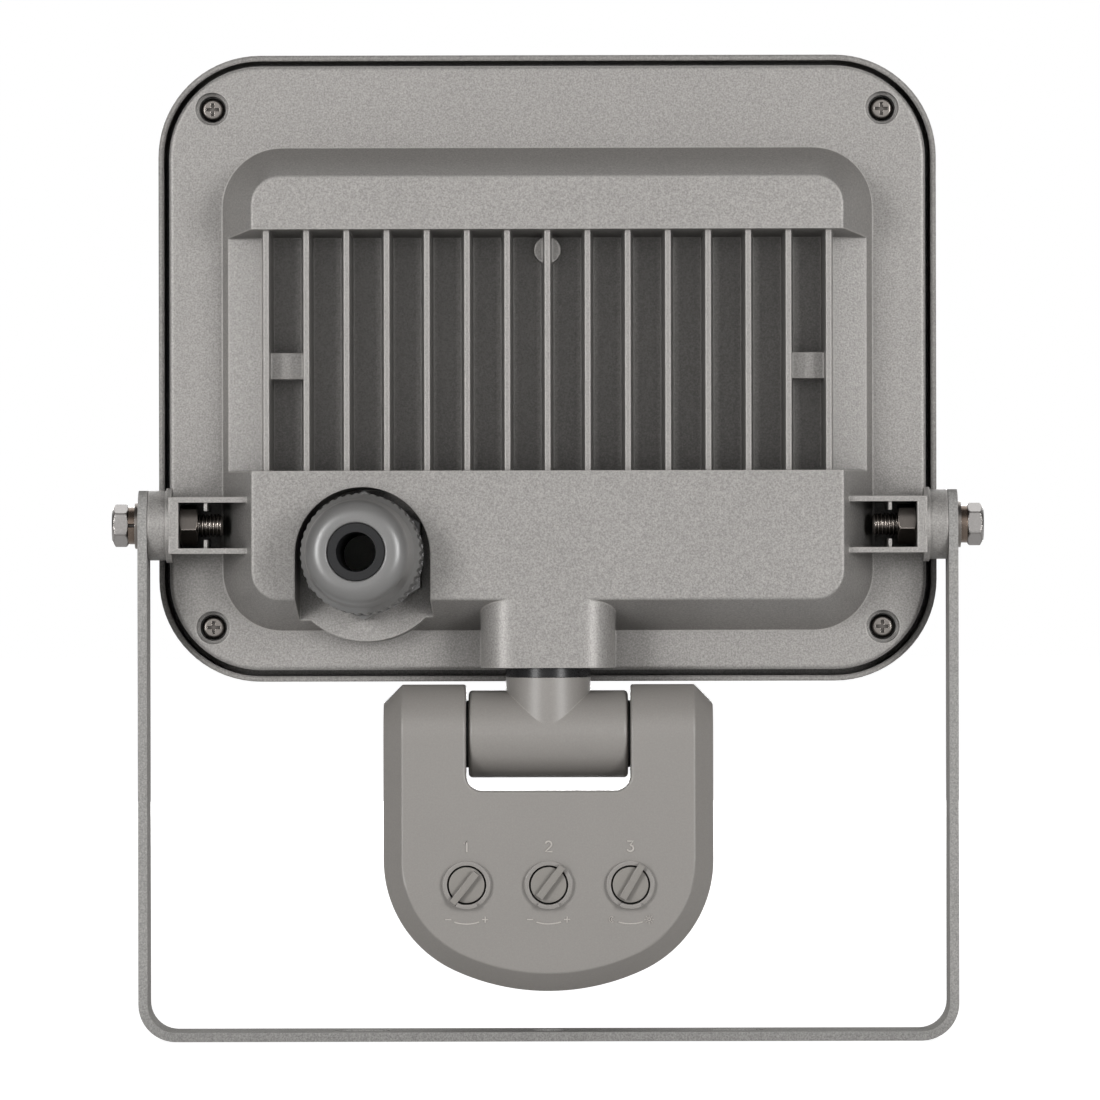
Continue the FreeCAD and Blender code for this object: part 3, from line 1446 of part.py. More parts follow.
def make_head_cover():
    """Front cover of the sensor head: notched like the shell, hollowed for the ears, with a window."""
    body = new_part("sensor_front_cover")
    rear = s.stem_y
    sketch = new_sketch(body, "XZ", rear)
    add_shield(sketch, s.head_half, s.head_cover_top, s.head_low, s.head_corner,
               s.head_bottom_radius)
    cover = span(body, "Pad", sketch, "XZ", rear, s.head_front)
    dress(body, "Chamfer", cover, edge_at_level(s.head_front), s.head_front_bevel)
    cut_slot(body, rear + PAST, s.head_front - PAST)
    cut_ear_hollow(body)
    inset = s.head_wall
    inside = s.head_front + s.head_wall
    sketch = new_sketch(body, "XZ", rear)
    add_shield(sketch, s.head_half - inset, s.head_slot_low - inset, s.head_low + inset,
               s.head_corner - inset, s.head_bottom_radius - inset)
    span(body, "Pocket", sketch, "XZ", rear, inside)
    cut_round(body, "XZ", inside + PAST, s.head_front - PAST, [(zero, s.lens_height)],
              s.lens_radius + s.lens_clearance)


def cut_ear_hollow(body):
    """Turned hollow in the cover, about the barrel's axis, that follows the bevelled ears."""
    radius = s.head_ear_radius + s.head_cover_clearance
    end = s.head_half + SLIVER
    end_radius = radius - s.head_bevel - SLIVER
    flat = s.head_half - s.head_bevel
    sketch = new_sketch(body, "XY", s.barrel_height)
    bind(sketch.sketch, "AttachmentOffset.Base.y", s.stem_y)
    add_outline(sketch, [
        (-end, zero), (end, zero), (end, end_radius), (flat, radius), (-flat, radius),
        (-end, end_radius)])
    hollow = body.newObject("PartDesign::Groove", "%s_hollow" % body.Label)
    hollow.Profile = sketch.finish()
    hollow.ReferenceAxis = (sketch.sketch, ["H_Axis"])
    hollow.Angle = 360


def make_lens():
    """Domed lens with a flange behind the cover's window."""
    body = new_part("sensor_lens")
    place(body, z=s.lens_height)
    inside = s.head_front + s.head_wall
    tip = inside - s.lens_reach
    radius = s.lens_radius
    wall = s.lens_wall
    shoulder = tip + s.lens_shoulder
    flange = radius + s.lens_flange
    revolve(body, [
        (zero, tip), (zero, tip + wall),
        (s.lens_crown_radius - wall, tip + wall, s.lens_crown_round - wall),
        (radius - wall, shoulder, s.lens_shoulder_round - wall), (radius - wall, inside + wall),
        (flange, inside + wall), (flange, inside), (radius, inside),
        (radius, shoulder, s.lens_shoulder_round),
        (s.lens_crown_radius, tip, s.lens_crown_round)])


def make_sensor_inside():
    """Sensor board with its detector can, light cell, potentiometers and screws."""
    rear = s.sensor_board_rear
    front = rear - s.board_thick
    half = s.sensor_board_width / 2
    body = new_part("sensor_board")
    pad_box(body, "XZ", rear, front, -half, half, s.sensor_board_low, s.sensor_board_high)
    cut_round(body, "XZ", rear + PAST, front - PAST, sensor_posts(),
              s.sensor_screw_radius + s.screw_clearance)
    make_detector_can(front)
    body = new_part("light_cell")
    pad_round(body, "XZ", front, front - s.light_cell_tall,
              [(s.light_cell_x, s.lens_height + s.light_cell_rise)], s.light_cell_radius)
    body = new_part("potentiometers")
    top = head_rear - s.head_wall - s.pot_shell_gap
    knobs = [(x, s.knob_height) for name, x, angle in knob_places]
    sketch = new_sketch(body, "XZ", rear)
    for x, z in knobs:
        add_box_outline(sketch, x - s.pot_width / 2, x + s.pot_width / 2,
                        z - s.pot_width / 2, z + s.pot_width / 2)
    span(body, "Pad", sketch, "XZ", rear, rear + s.pot_tall)
    pad_round(body, "XZ", rear + s.pot_tall, top, knobs, s.pot_collar_radius)
    cut_round(body, "XZ", top + PAST, rear + PAST, knobs,
              s.knob_shaft_radius + s.running_clearance)
    body = new_part("sensor_board_screws")
    pad_round(body, "XZ", front, front - s.sensor_screw_head_tall, sensor_posts(),
              s.sensor_screw_head)
    pad_round(body, "XZ", front, front + s.sensor_screw_length, sensor_posts(),
              s.sensor_screw_radius)


def make_detector_can(board_front):
    """Round can of the infrared detector, with its flange and the seat of its filter window."""
    body = new_part("detector_can")
    axis = [(zero, s.lens_height)]
    top = board_front - s.can_tall
    pad_round(body, "XZ", board_front, board_front - s.can_flange_thick, axis,
              s.can_radius + s.can_flange)
    pad_round(body, "XZ", board_front, top, axis, s.can_radius)
    cut_box(body, "XZ", top - PAST, top + s.can_window_depth, -(s.can_window_width / 2),
            s.can_window_width / 2, s.lens_height - s.can_window_tall / 2,
            s.lens_height + s.can_window_tall / 2)


def make_knobs():
    """Three setting knobs: disc, shaft and a raised bar whose pointer reaches the collar."""
    for name, x, angle in knob_places:
        body = new_part("knob_%s" % name)
        place(body, x=x, z=s.knob_height)
        body.Placement.Rotation = FreeCAD.Rotation(V(0, -1, 0), 0)
        bind(body, "Placement.Rotation.Angle", angle)
        centre = [(zero, zero)]
        bottom = head_rear - s.head_wall + s.pointer_gap
        pad_round(body, "XZ", bottom, disc_level, centre, s.knob_radius)
        pad_round(body, "XZ", bottom, s.sensor_board_rear + s.knob_shaft_gap, centre,
                  s.knob_shaft_radius)
        half = s.bar_width / 2
        bar_top = disc_level + s.bar_rise
        bar_end = s.knob_radius - s.bar_inset
        pad_box(body, "XZ", disc_level - BITE, bar_top, -half, half, -bar_end, bar_end)
        pad_box(body, "XZ", collar_level + s.pointer_gap, bar_top, -half, half,
                bar_end - s.bar_overlap, s.pointer_reach)


def make_all():
    make_bracket()
    make_housing()
    make_front_frame()
    make_glazing()
    make_reflector()
    make_light_board()
    make_corner_screws()
    make_driver()
    for side in (1, -1):
        make_pivot_set(side)
    make_gland()
    make_arm()
    make_head_shell()
    make_head_cover()
    make_lens()
    make_sensor_inside()
    make_knobs()


def check_all():
    """Stops if any object failed or any sub-part has no valid shape."""
    for item in doc.Objects:
        if "Invalid" in item.State or "Error" in item.State:
            raise RuntimeError("%s: %s" % (item.Label, item.State))
    for body in parts:
        if body.Shape.isNull() or not body.Shape.isValid():
            raise RuntimeError("%s has no valid shape" % body.Label)


make_all()
for body in parts:
    if hasattr(body, "Tip") and hasattr(body.Tip, "Refine"):
        body.Tip.Refine = True
doc.recompute()
check_all()
os.makedirs("parts", exist_ok=True)
for body in parts:
    body.Shape.exportStep("parts/%s.step" % body.Label)
    print("%-22s solids %3d  volume %10.1f" % (
        body.Label, len(body.Shape.Solids), body.Shape.Volume))
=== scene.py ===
"""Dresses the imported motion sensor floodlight: materials, threads, signs, floor, lights, camera."""
import math

import bmesh
import bpy
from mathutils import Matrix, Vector


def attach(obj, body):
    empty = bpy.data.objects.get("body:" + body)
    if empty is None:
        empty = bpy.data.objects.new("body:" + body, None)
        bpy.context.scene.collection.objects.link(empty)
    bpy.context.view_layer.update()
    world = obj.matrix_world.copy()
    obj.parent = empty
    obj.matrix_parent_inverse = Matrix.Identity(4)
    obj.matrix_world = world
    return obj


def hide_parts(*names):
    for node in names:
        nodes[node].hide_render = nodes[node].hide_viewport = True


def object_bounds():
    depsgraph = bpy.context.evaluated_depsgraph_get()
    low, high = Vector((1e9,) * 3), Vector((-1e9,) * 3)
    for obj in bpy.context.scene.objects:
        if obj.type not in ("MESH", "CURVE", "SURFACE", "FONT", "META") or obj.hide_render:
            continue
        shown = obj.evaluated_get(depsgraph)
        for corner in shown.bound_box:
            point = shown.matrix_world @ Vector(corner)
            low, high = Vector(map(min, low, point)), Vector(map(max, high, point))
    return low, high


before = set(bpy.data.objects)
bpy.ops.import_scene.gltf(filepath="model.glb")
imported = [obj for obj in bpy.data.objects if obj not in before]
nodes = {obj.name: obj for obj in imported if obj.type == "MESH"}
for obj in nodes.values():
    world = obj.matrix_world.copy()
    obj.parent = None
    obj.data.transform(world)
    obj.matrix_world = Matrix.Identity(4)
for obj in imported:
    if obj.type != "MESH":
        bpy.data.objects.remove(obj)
cad_low, cad_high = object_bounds()

scene = bpy.context.scene

MM = 0.001
BLACK = (0, 0, 0, 1)
WHITE = (1, 1, 1, 1)


def link(obj):
    scene.collection.objects.link(obj)
    return obj


# Materials

MIX_A, MIX_B, MIX_RESULT = 6, 7, 2   # colour sockets of a mix node


def grey(level):
    return level, level, level, 1.0


def tone(colour, factor):
    return tuple(min(1.0, c * factor) for c in colour) + (1.0,)


class Tree:
    """Node tree of a material or of the world, with short ways to add and join nodes."""

    def __init__(self, owner):
        owner.use_nodes = True
        self.tree = owner.node_tree
        self.tree.nodes.clear()

    def node(self, kind, inputs=None, **properties):
        """A new node, with the constants of its input sockets and with its properties."""
        made = self.tree.nodes.new(kind)
        for key, value in properties.items():
            setattr(made, key, value)
        for key, value in (inputs or {}).items():
            made.inputs[key].default_value = value
        return made

    def join(self, source, output, target, entry):
        self.tree.links.new(source.outputs[output], target.inputs[entry])

    def ramp(self, source, output, stops):
        """Colour ramp over an output, through stops of place and colour."""
        made = self.node("ShaderNodeValToRGB")
        elements = made.color_ramp.elements
        while len(elements) > 1:
            elements.remove(elements[-1])
        elements[0].position, elements[0].color = stops[0]
        for place, colour in stops[1:]:
            elements.new(place).color = colour
        self.join(source, output, made, "Fac")
        return made

    def multiplied(self, source, output, ramp):
        """A colour multiplied by a ramp's."""
        made = self.node("ShaderNodeMix", {"Factor": 1.0}, data_type="RGBA",
                         blend_type="MULTIPLY")
        self.join(source, output, made, MIX_A)
        self.join(ramp, "Color", made, MIX_B)
        return made

    def larger(self, first, output, second, other_output):
        """The larger of two values. Of two questions about a ray it says yes to either."""
        made = self.node("ShaderNodeMath", operation="MAXIMUM")
        self.join(first, output, made, 0)
        self.join(second, other_output, made, 1)
        return made


SPECK_LEVELS = (0.30, 0.5, 0.72)   # noise at which a speck is darkest, plain and lightest
LIGHT_SPECKS = 1.3                 # how much more the light specks stand out than the dark ones
CLOUD_SIZE = 55.0                  # size of the clouds, in grains
CLOUD_DEPTH = 0.03
CLOUD_LEVELS = (0.3, 0.7)
ROUGH_SPREAD = 0.06                # how far the grain moves the roughness either way
LEAST_ROUGH = 0.02
PAINTED_EDGE_TURN, PLAIN_TURN = 0.89, 0.990   # agreement of plain and rounded normal, where an edge is fully painted and where it is not painted
# Openness of a spot, and the share of the full painted shade that it gets
HOLLOW_SHADE_STEPS = ((0.15, 1.0), (0.37, 0.6), (0.60, 0.22), (0.90, 0.0))


def with_painted_edges(t, mixed, rounded, painted_edge, edge_tone):
    """A colour that turns towards an edge tone where the rounded normal leaves the plain one. With a
    lighter tone this is a painted highlight along the rounded edges; with a darker tone the edges are
    painted darker.
    """
    plain = t.node("ShaderNodeNewGeometry")
    turn = t.node("ShaderNodeVectorMath", operation="DOT_PRODUCT")
    t.join(plain, "Normal", turn, 0)
    t.join(rounded, "Normal", turn, 1)
    edge_paint = t.ramp(turn, "Value", [(PAINTED_EDGE_TURN, grey(painted_edge)), (PLAIN_TURN, BLACK)])
    lighter = t.node("ShaderNodeMix", {MIX_B: edge_tone}, data_type="RGBA", blend_type="MIX")
    t.join(edge_paint, "Color", lighter, "Factor")
    t.join(mixed, MIX_RESULT, lighter, MIX_A)
    return lighter


def with_painted_hollow_shade(t, mixed, hollow_shade, reach):
    """A colour darkened with painted shade in recesses that are closed within reach millimetres."""
    shut = t.node("ShaderNodeAmbientOcclusion", {"Distance": reach * MM}, samples=6)
    shade = t.ramp(shut, "AO", [(place, grey(1 - hollow_shade * share))
                                for place, share in HOLLOW_SHADE_STEPS])
    return t.multiplied(mixed, MIX_RESULT, shade)


def surface(name, colour, roughness, metallic=0.0, grain=2200.0, depth=0.02, spread=0.06,
            edge=0.25, painted_edge=0.10, bright=1.5, edge_colour=None, specular=0.5, hollow_shade=0.0,
            reach=20.0):
    """A coat or moulding with grain in its colour, height and roughness, and rounded edges.

    grain is the scale of the noise, spread how far a speck leaves the colour, and depth the
    height of the grain in millimetres. edge is the radius of the edges in millimetres, and
    painted_edge how far they turn to edge_colour, or else colour, times bright: a painted highlight
    where that tone is lighter, and painted darker edges where it is darker. hollow_shade is how far
    the colour darkens with painted shade in recesses that are closed within reach millimetres.
    """
    material = bpy.data.materials.new(name)
    t = Tree(material)
    out = t.node("ShaderNodeOutputMaterial")
    shader = t.node("ShaderNodeBsdfPrincipled",
                    {"Metallic": metallic, "Specular IOR Level": specular})
    t.join(shader, "BSDF", out, "Surface")
    place = t.node("ShaderNodeTexCoord")
    fine = t.node("ShaderNodeTexNoise", {"Scale": grain, "Detail": 2.5, "Roughness": 0.65})
    slow = t.node("ShaderNodeTexNoise",
                  {"Scale": grain / CLOUD_SIZE, "Detail": 2.0, "Roughness": 0.5})
    t.join(place, "Object", fine, "Vector")
    t.join(place, "Object", slow, "Vector")
    specks = (1 - spread, 1.0, 1 + spread * LIGHT_SPECKS)
    speckle = t.ramp(fine, "Fac", [(level, tone(colour, factor))
                                   for level, factor in zip(SPECK_LEVELS, specks)])
    clouds = t.ramp(slow, "Fac", [(CLOUD_LEVELS[0], grey(1 - CLOUD_DEPTH)),
                                  (CLOUD_LEVELS[1], WHITE)])
    mixed = t.multiplied(speckle, "Color", clouds)
    rounded = t.node("ShaderNodeBevel", {"Radius": edge * MM}, samples=4)
    bump = t.node("ShaderNodeBump", {"Strength": 1.0, "Distance": depth * MM})
    t.join(fine, "Fac", bump, "Height")
    t.join(rounded, "Normal", bump, "Normal")
    t.join(bump, "Normal", shader, "Normal")
    # Painted highlights along the rounded edges, or darker painted edges where the edge tone is
    # darker
    if painted_edge:
        mixed = with_painted_edges(t, mixed, rounded, painted_edge, tone(edge_colour or colour, bright))
    # Painted shade in recesses, gaps and thread roots
    if hollow_shade:
        mixed = with_painted_hollow_shade(t, mixed, hollow_shade, reach)
    t.join(mixed, MIX_RESULT, shader, "Base Color")
    rough = t.node("ShaderNodeMapRange", {"To Min": max(LEAST_ROUGH, roughness - ROUGH_SPREAD),
                                          "To Max": min(1.0, roughness + ROUGH_SPREAD)})
    t.join(fine, "Fac", rough, "Value")
    t.join(rough, "Result", shader, "Roughness")
    return material


def pane(name, tint):
    """Clear glass that lets light through to and from what is behind it without caustics."""
    material = bpy.data.materials.new(name)
    t = Tree(material)
    out = t.node("ShaderNodeOutputMaterial")
    glass = t.node("ShaderNodeBsdfPrincipled", {"Base Color": tint, "Roughness": 0.03,
                                                "IOR": 1.5, "Transmission Weight": 1.0})
    through = t.node("ShaderNodeBsdfTransparent")
    path = t.node("ShaderNodeLightPath")
    scattered = t.larger(path, "Is Shadow Ray", path, "Is Diffuse Ray")
    choice = t.node("ShaderNodeMixShader")
    t.join(scattered, "Value", choice, 0)
    t.join(glass, "BSDF", choice, 1)
    t.join(through, "BSDF", choice, 2)
    t.join(choice, "Shader", out, "Surface")
    return material


LENS_Z = 33.0               # height of the lens's axis
LENS_ZONES = (5.6, 11.2)    # radii of the two ring lines
LENS_SPAN = 20.0            # radius that the ramp of the ring lines spans
LENS_SPOKES = 12.0
SPOKE_HALF = 0.035          # half widths of the lines, in ramp units
RING_HALF = 0.012
GROOVE_SCALE = 330.0
GROOVE_DEPTH = 0.045
LINE_SINK = -1.6            # height of a line, in groove depths
LENS_MILK = (0.84, 0.84, 0.81, 1)
LENS_LINE = (0.66, 0.66, 0.64, 1)


def segmented_lens(name):
    """Milky lens with fine ring grooves, parted into segments by spokes and two rings."""
    material = bpy.data.materials.new(name)
    t = Tree(material)
    out = t.node("ShaderNodeOutputMaterial")
    shader = t.node("ShaderNodeBsdfPrincipled", {"Roughness": 0.38})
    t.join(shader, "BSDF", out, "Surface")
    place = t.node("ShaderNodeTexCoord")
    facing = t.node("ShaderNodeMapping", {"Location": (0.0, LENS_Z * MM, 0.0),
                                          "Rotation": (math.pi / 2, 0.0, 0.0)})
    t.join(place, "Object", facing, "Vector")
    grooves = t.node("ShaderNodeTexWave", {"Scale": GROOVE_SCALE}, wave_type="RINGS",
                     rings_direction="Z")
    t.join(facing, "Vector", grooves, "Vector")
    angle = t.node("ShaderNodeTexGradient", gradient_type="RADIAL")
    t.join(facing, "Vector", angle, "Vector")
    spokes = t.node("ShaderNodeMath", {1: LENS_SPOKES}, operation="MULTIPLY")
    t.join(angle, "Fac", spokes, 0)
    nearest = t.node("ShaderNodeMath", {1: 0.5}, operation="PINGPONG")
    t.join(spokes, "Value", nearest, 0)
    spoke_line = t.ramp(nearest, "Value", [(0.0, WHITE), (SPOKE_HALF, BLACK)])
    span = LENS_SPAN * MM
    flat = t.node("ShaderNodeVectorMath", {1: (1 / span, 1 / span, 0.0)}, operation="MULTIPLY")
    t.join(facing, "Vector", flat, 0)
    from_axis = t.node("ShaderNodeVectorMath", operation="LENGTH")
    t.join(flat, "Vector", from_axis, 0)
    stops = [(0.0, BLACK)]
    for radius in LENS_ZONES:
        middle = radius / LENS_SPAN
        stops += [(middle - RING_HALF, BLACK), (middle, WHITE), (middle + RING_HALF, BLACK)]
    zone_line = t.ramp(from_axis, "Value", stops)
    line = t.larger(spoke_line, "Color", zone_line, "Color")
    tint = t.ramp(line, "Value", [(0.0, LENS_MILK), (1.0, LENS_LINE)])
    t.join(tint, "Color", shader, "Base Color")
    height = t.node("ShaderNodeMath", {1: LINE_SINK}, operation="MULTIPLY_ADD")
    t.join(line, "Value", height, 0)
    t.join(grooves, "Fac", height, 2)
    bump = t.node("ShaderNodeBump", {"Strength": 1.0, "Distance": GROOVE_DEPTH * MM})
    t.join(height, "Value", bump, "Height")
    t.join(bump, "Normal", shader, "Normal")
    return material


COAT = (0.375, 0.360, 0.345)
MOULDED = (0.345, 0.325, 0.305)
HOUSING_PAINT = dict(colour=COAT, roughness=0.43, metallic=0.28, grain=2700, depth=0.045,
                     spread=0.26, specular=0.4)
BARE_METAL = dict(metallic=1.0, grain=2600, depth=0.006)

# In each finish the edge entries paint highlights along rounded edges, and the hollow entry paints
# shade into recesses.
FINISHES = {
    "bracket_coat": dict(
        colour=(0.43, 0.42, 0.406), roughness=0.55, grain=2700, depth=0.022, spread=0.28,
        specular=0.0, edge=0.35, painted_edge=0.4, hollow_shade=0.5),
    "housing_coat": dict(HOUSING_PAINT, edge=0.6, painted_edge=0.8, bright=2.1, hollow_shade=0.55),
    "frame_coat": dict(HOUSING_PAINT, edge=1.2, painted_edge=0, hollow_shade=0.5),
    "silicone": dict(colour=(0.05, 0.05, 0.05), roughness=0.6, grain=900, depth=0.01, painted_edge=0),
    "reflector_white": dict(
        colour=(0.84, 0.84, 0.82), roughness=0.42, grain=1500, depth=0.006, spread=0.015,
        painted_edge=0),
    "board_white": dict(
        colour=(0.87, 0.87, 0.85), roughness=0.5, grain=1200, depth=0.004, spread=0.01, painted_edge=0),
    "phosphor": dict(
        colour=(0.86, 0.66, 0.12), roughness=0.35, grain=3500, depth=0.01, spread=0.08, painted_edge=0),
    "stainless": dict(
        BARE_METAL, colour=(0.30, 0.275, 0.255), roughness=0.24, edge=0.1, painted_edge=0.9,
        bright=2.6, hollow_shade=0.8, reach=3.0),
    # The head's rounded edges are painted a darker brown.
    "bolt_steel": dict(
        BARE_METAL, colour=(0.36, 0.345, 0.335), roughness=0.22, edge=0.45, painted_edge=0.85,
        bright=0.34, edge_colour=(0.36, 0.29, 0.24), hollow_shade=0.8, reach=3.0),
    "nut_steel": dict(
        BARE_METAL, colour=(0.20, 0.18, 0.165), roughness=0.24, edge=0.35, painted_edge=0.9,
        bright=3.4, hollow_shade=0.6, reach=2.0),
    "bronze_temper": dict(
        BARE_METAL, colour=(0.21, 0.165, 0.135), roughness=0.26, edge=0.2, painted_edge=0.8,
        bright=2.4, hollow_shade=0.7, reach=3.0),
    "zinc_steel": dict(
        BARE_METAL, colour=(0.80, 0.75, 0.71), roughness=0.20, edge=0.2, painted_edge=0.5, bright=1.2,
        hollow_shade=0.75, reach=2.0),
    "capacitor_can": dict(
        colour=(0.6, 0.6, 0.6), roughness=0.25, metallic=1.0, grain=2000, depth=0.005,
        edge=0.2),
    "circuit_green": dict(
        colour=(0.05, 0.2, 0.09), roughness=0.4, grain=2500, depth=0.01, painted_edge=0),
    "transformer_yellow": dict(
        colour=(0.7, 0.5, 0.08), roughness=0.5, grain=800, depth=0.02, painted_edge=0),
    "terminal_plastic": dict(
        colour=(0.72, 0.72, 0.69), roughness=0.5, grain=2000, depth=0.01),
    "black_rubber": dict(
        colour=(0.012, 0.012, 0.013), roughness=0.5, grain=1800, depth=0.01, spread=0.2,
        specular=0.3),
    "glossy_seal": dict(
        colour=(0.005, 0.005, 0.006), roughness=0.28, grain=1800, depth=0.002, spread=0.1,
        painted_edge=0, specular=0.4),
    "gland_plastic": dict(
        colour=(0.21, 0.206, 0.202), roughness=0.34, grain=2600, depth=0.004, spread=0.03,
        specular=1.0, edge=0.3, painted_edge=0.3, bright=1.6, hollow_shade=0.4, reach=8.0),
    "sensor_plastic": dict(
        colour=MOULDED, roughness=0.40, grain=2800, depth=0.008, spread=0.05, specular=0.7,
        edge=0.35, painted_edge=0.6, bright=1.9, hollow_shade=0.4, reach=10.0),
    # The signs are moulded in the head's own plastic; their lighter colour is a painted highlight.
    "raised_signs_painted_light": dict(
        colour=tone(MOULDED, 1.9)[:3], roughness=0.36, grain=2800, depth=0.006, spread=0.05,
        edge=0.05, painted_edge=0.3),
    "knob_plastic": dict(
        colour=(0.34, 0.32, 0.295), roughness=0.36, grain=2800, depth=0.008, spread=0.03,
        edge=0.25, painted_edge=0.6, bright=1.7, hollow_shade=0.6, reach=3.0),
    "dark_washer": dict(
        colour=(0.05, 0.05, 0.05), roughness=0.5, grain=2000, depth=0.01, painted_edge=0),
    "cell_amber": dict(
        colour=(0.5, 0.22, 0.05), roughness=0.25, grain=1500, depth=0.004, painted_edge=0),
    "pot_plastic": dict(
        colour=(0.035, 0.028, 0.022), roughness=0.5, grain=2400, depth=0.01, painted_edge=0),
}
materials = {name: surface(name, **finish) for name, finish in FINISHES.items()}
materials["tempered_glass"] = pane("tempered_glass", (0.96, 0.99, 0.985, 1))
materials["lens_plastic"] = segmented_lens("lens_plastic")

# CAD pieces whose finish differs from that of their slot
OWN_FINISH = {
    "front_frame": "frame_coat",
    "stem_seal": "glossy_seal",
    "spring_washer_left": "bronze_temper",
    "spring_washer_right": "bronze_temper",
    "pivot_nut_left": "nut_steel",
    "pivot_nut_right": "nut_steel",
}

for name, obj in nodes.items():
    for entry in obj.material_slots:
        entry.material = materials[entry.material.name]
for name, finish in OWN_FINISH.items():
    nodes[name].material_slots[0].material = materials[finish]


# Pieces that the solids leave out: threads on the bolts and raised signs on the sensor head


def new_piece(name, verts, faces, slot, body, crease):
    """A mesh in millimetres of the shared frame, smooth up to a crease angle, on a body."""
    mesh = bpy.data.meshes.new(name)
    mesh.from_pydata([[c * MM for c in v] for v in verts], [], faces)
    work = bmesh.new()
    work.from_mesh(mesh)
    bmesh.ops.remove_doubles(work, verts=work.verts, dist=1e-7)
    bmesh.ops.recalc_face_normals(work, faces=work.faces)
    work.to_mesh(mesh)
    work.free()
    mesh.shade_smooth()
    mesh.set_sharp_from_angle(angle=math.radians(crease))
    mesh.materials.append(materials[slot])
    piece = link(bpy.data.objects.new(name, mesh))
    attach(piece, body)
    return piece


# Bolts, in millimetres. Places along a bolt are distances from the middle of the lamp.
PIVOT = 110.5          # height of the pivots
BOLT_TIP = 69.7
THREAD_END = 75.6      # where the plain shank starts, inside the nut
SHANK_MIDDLE = 82.0
HEAD_SEAT = 90.0
HEAD_END = 93.5
PITCH = 0.8
SHANK_RADIUS = 2.45
ROOT_RADIUS = 2.08
THREAD_DEPTH = 0.42
THREAD_SLOPE = 2.3     # rise of a flank for one pitch along the bolt, in thread depths
TIP_RADIUS = 1.75
TIP_SLOPE = 1.3        # rise of each chamfer's radius for 1 mm along the bolt
HEAD_HALF = 4.0        # half of the head's width across its flats
HEAD_TOP_RADIUS = 3.45
HEAD_TOP_SLOPE = 1.55
HEAD_FOOT_RADIUS = 3.95
HEAD_FOOT_SLOPE = 1.7
HEAD_TURN = math.radians(4)
BOLT_STEPS = 120       # points round the bolt
THREAD_STEP = 0.08     # distances between the rings of points
CHAMFER_STEP = 0.1
FLAT_STEP = 0.25
TOP_CHAMFER = 0.95     # lengths of the head's chamfers
FOOT_CHAMFER = 0.45
NUDGE = 0.001          # keeps a ring off the end of its run
SHANK_SHIFT = 0.05     # length of the cone between thread and shank


def bolt_radius(x, angle, head):
    """Radius of the bolt at a distance from the middle of the lamp and at an angle round it."""
    if head:
        sixth = math.pi / 3
        side = (angle - HEAD_TURN + sixth / 2) % sixth - sixth / 2
        return min(HEAD_HALF / math.cos(side),
                   HEAD_TOP_RADIUS + (HEAD_END - x) * HEAD_TOP_SLOPE,
                   HEAD_FOOT_RADIUS + (x - HEAD_SEAT) * HEAD_FOOT_SLOPE)
    if x > THREAD_END:
        return SHANK_RADIUS
    along = ((x - BOLT_TIP) / PITCH + angle / (2 * math.pi)) % 1.0
    ridge = ROOT_RADIUS + THREAD_DEPTH * min(1.0, THREAD_SLOPE * min(along, 1 - along))
    return min(ridge, TIP_RADIUS + (x - BOLT_TIP) * TIP_SLOPE)


def bolt_rings():
    """Places of the rings of points, from the head to the tip, each with whether it is head."""
    rings = []
    x = HEAD_END
    while x > HEAD_SEAT + NUDGE:
        rings.append((x, True))
        chamfered = x > HEAD_END - TOP_CHAMFER or x < HEAD_SEAT + FOOT_CHAMFER
        x -= CHAMFER_STEP if chamfered else FLAT_STEP
    rings += [(HEAD_SEAT, True), (HEAD_SEAT, False), (SHANK_MIDDLE, False),
              (THREAD_END + SHANK_SHIFT, False)]
    x = THREAD_END
    while x > BOLT_TIP + NUDGE:
        rings.append((x, False))
        x -= THREAD_STEP
    rings.append((BOLT_TIP, False))
    return rings


def make_bolt(name, side):
    """Hexagon bolt with both rims of its head chamfered and a thread on the part that shows."""
    rings = bolt_rings()
    verts = []
    for x, head in rings:
        for i in range(BOLT_STEPS):
            angle = 2 * math.pi * i / BOLT_STEPS
            r = bolt_radius(x, angle, head)
            verts.append((x * side, r * math.cos(angle), PIVOT + r * math.sin(angle)))
    faces = []
    for j in range(len(rings) - 1):
        here, below = j * BOLT_STEPS, (j + 1) * BOLT_STEPS
        for i in range(BOLT_STEPS):
            k = (i + 1) % BOLT_STEPS
            faces.append((here + i, here + k, below + k, below + i))
    for first, x in ((0, HEAD_END), ((len(rings) - 1) * BOLT_STEPS, BOLT_TIP)):
        centre = len(verts)
        verts.append((x * side, 0.0, PIVOT))
        for i in range(BOLT_STEPS):
            faces.append((centre, first + i, first + (i + 1) % BOLT_STEPS))
    piece = new_piece(name, verts, faces, "stainless", "lamp", 24.0)
    piece.data.materials.append(materials["bolt_steel"])
    for face in piece.data.polygons:
        face.material_index = 1 if abs(face.center.x) > HEAD_SEAT * MM else 0
    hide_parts("pivot_" + name)


# Signs, in millimetres, as (right, up) seen from behind
SIGN_LEVEL = 10.05     # rear face of the sensor head
SIGN_RISE = 0.22
SIGN_FOOT = 0.06       # how far a sign's foot reaches into the face
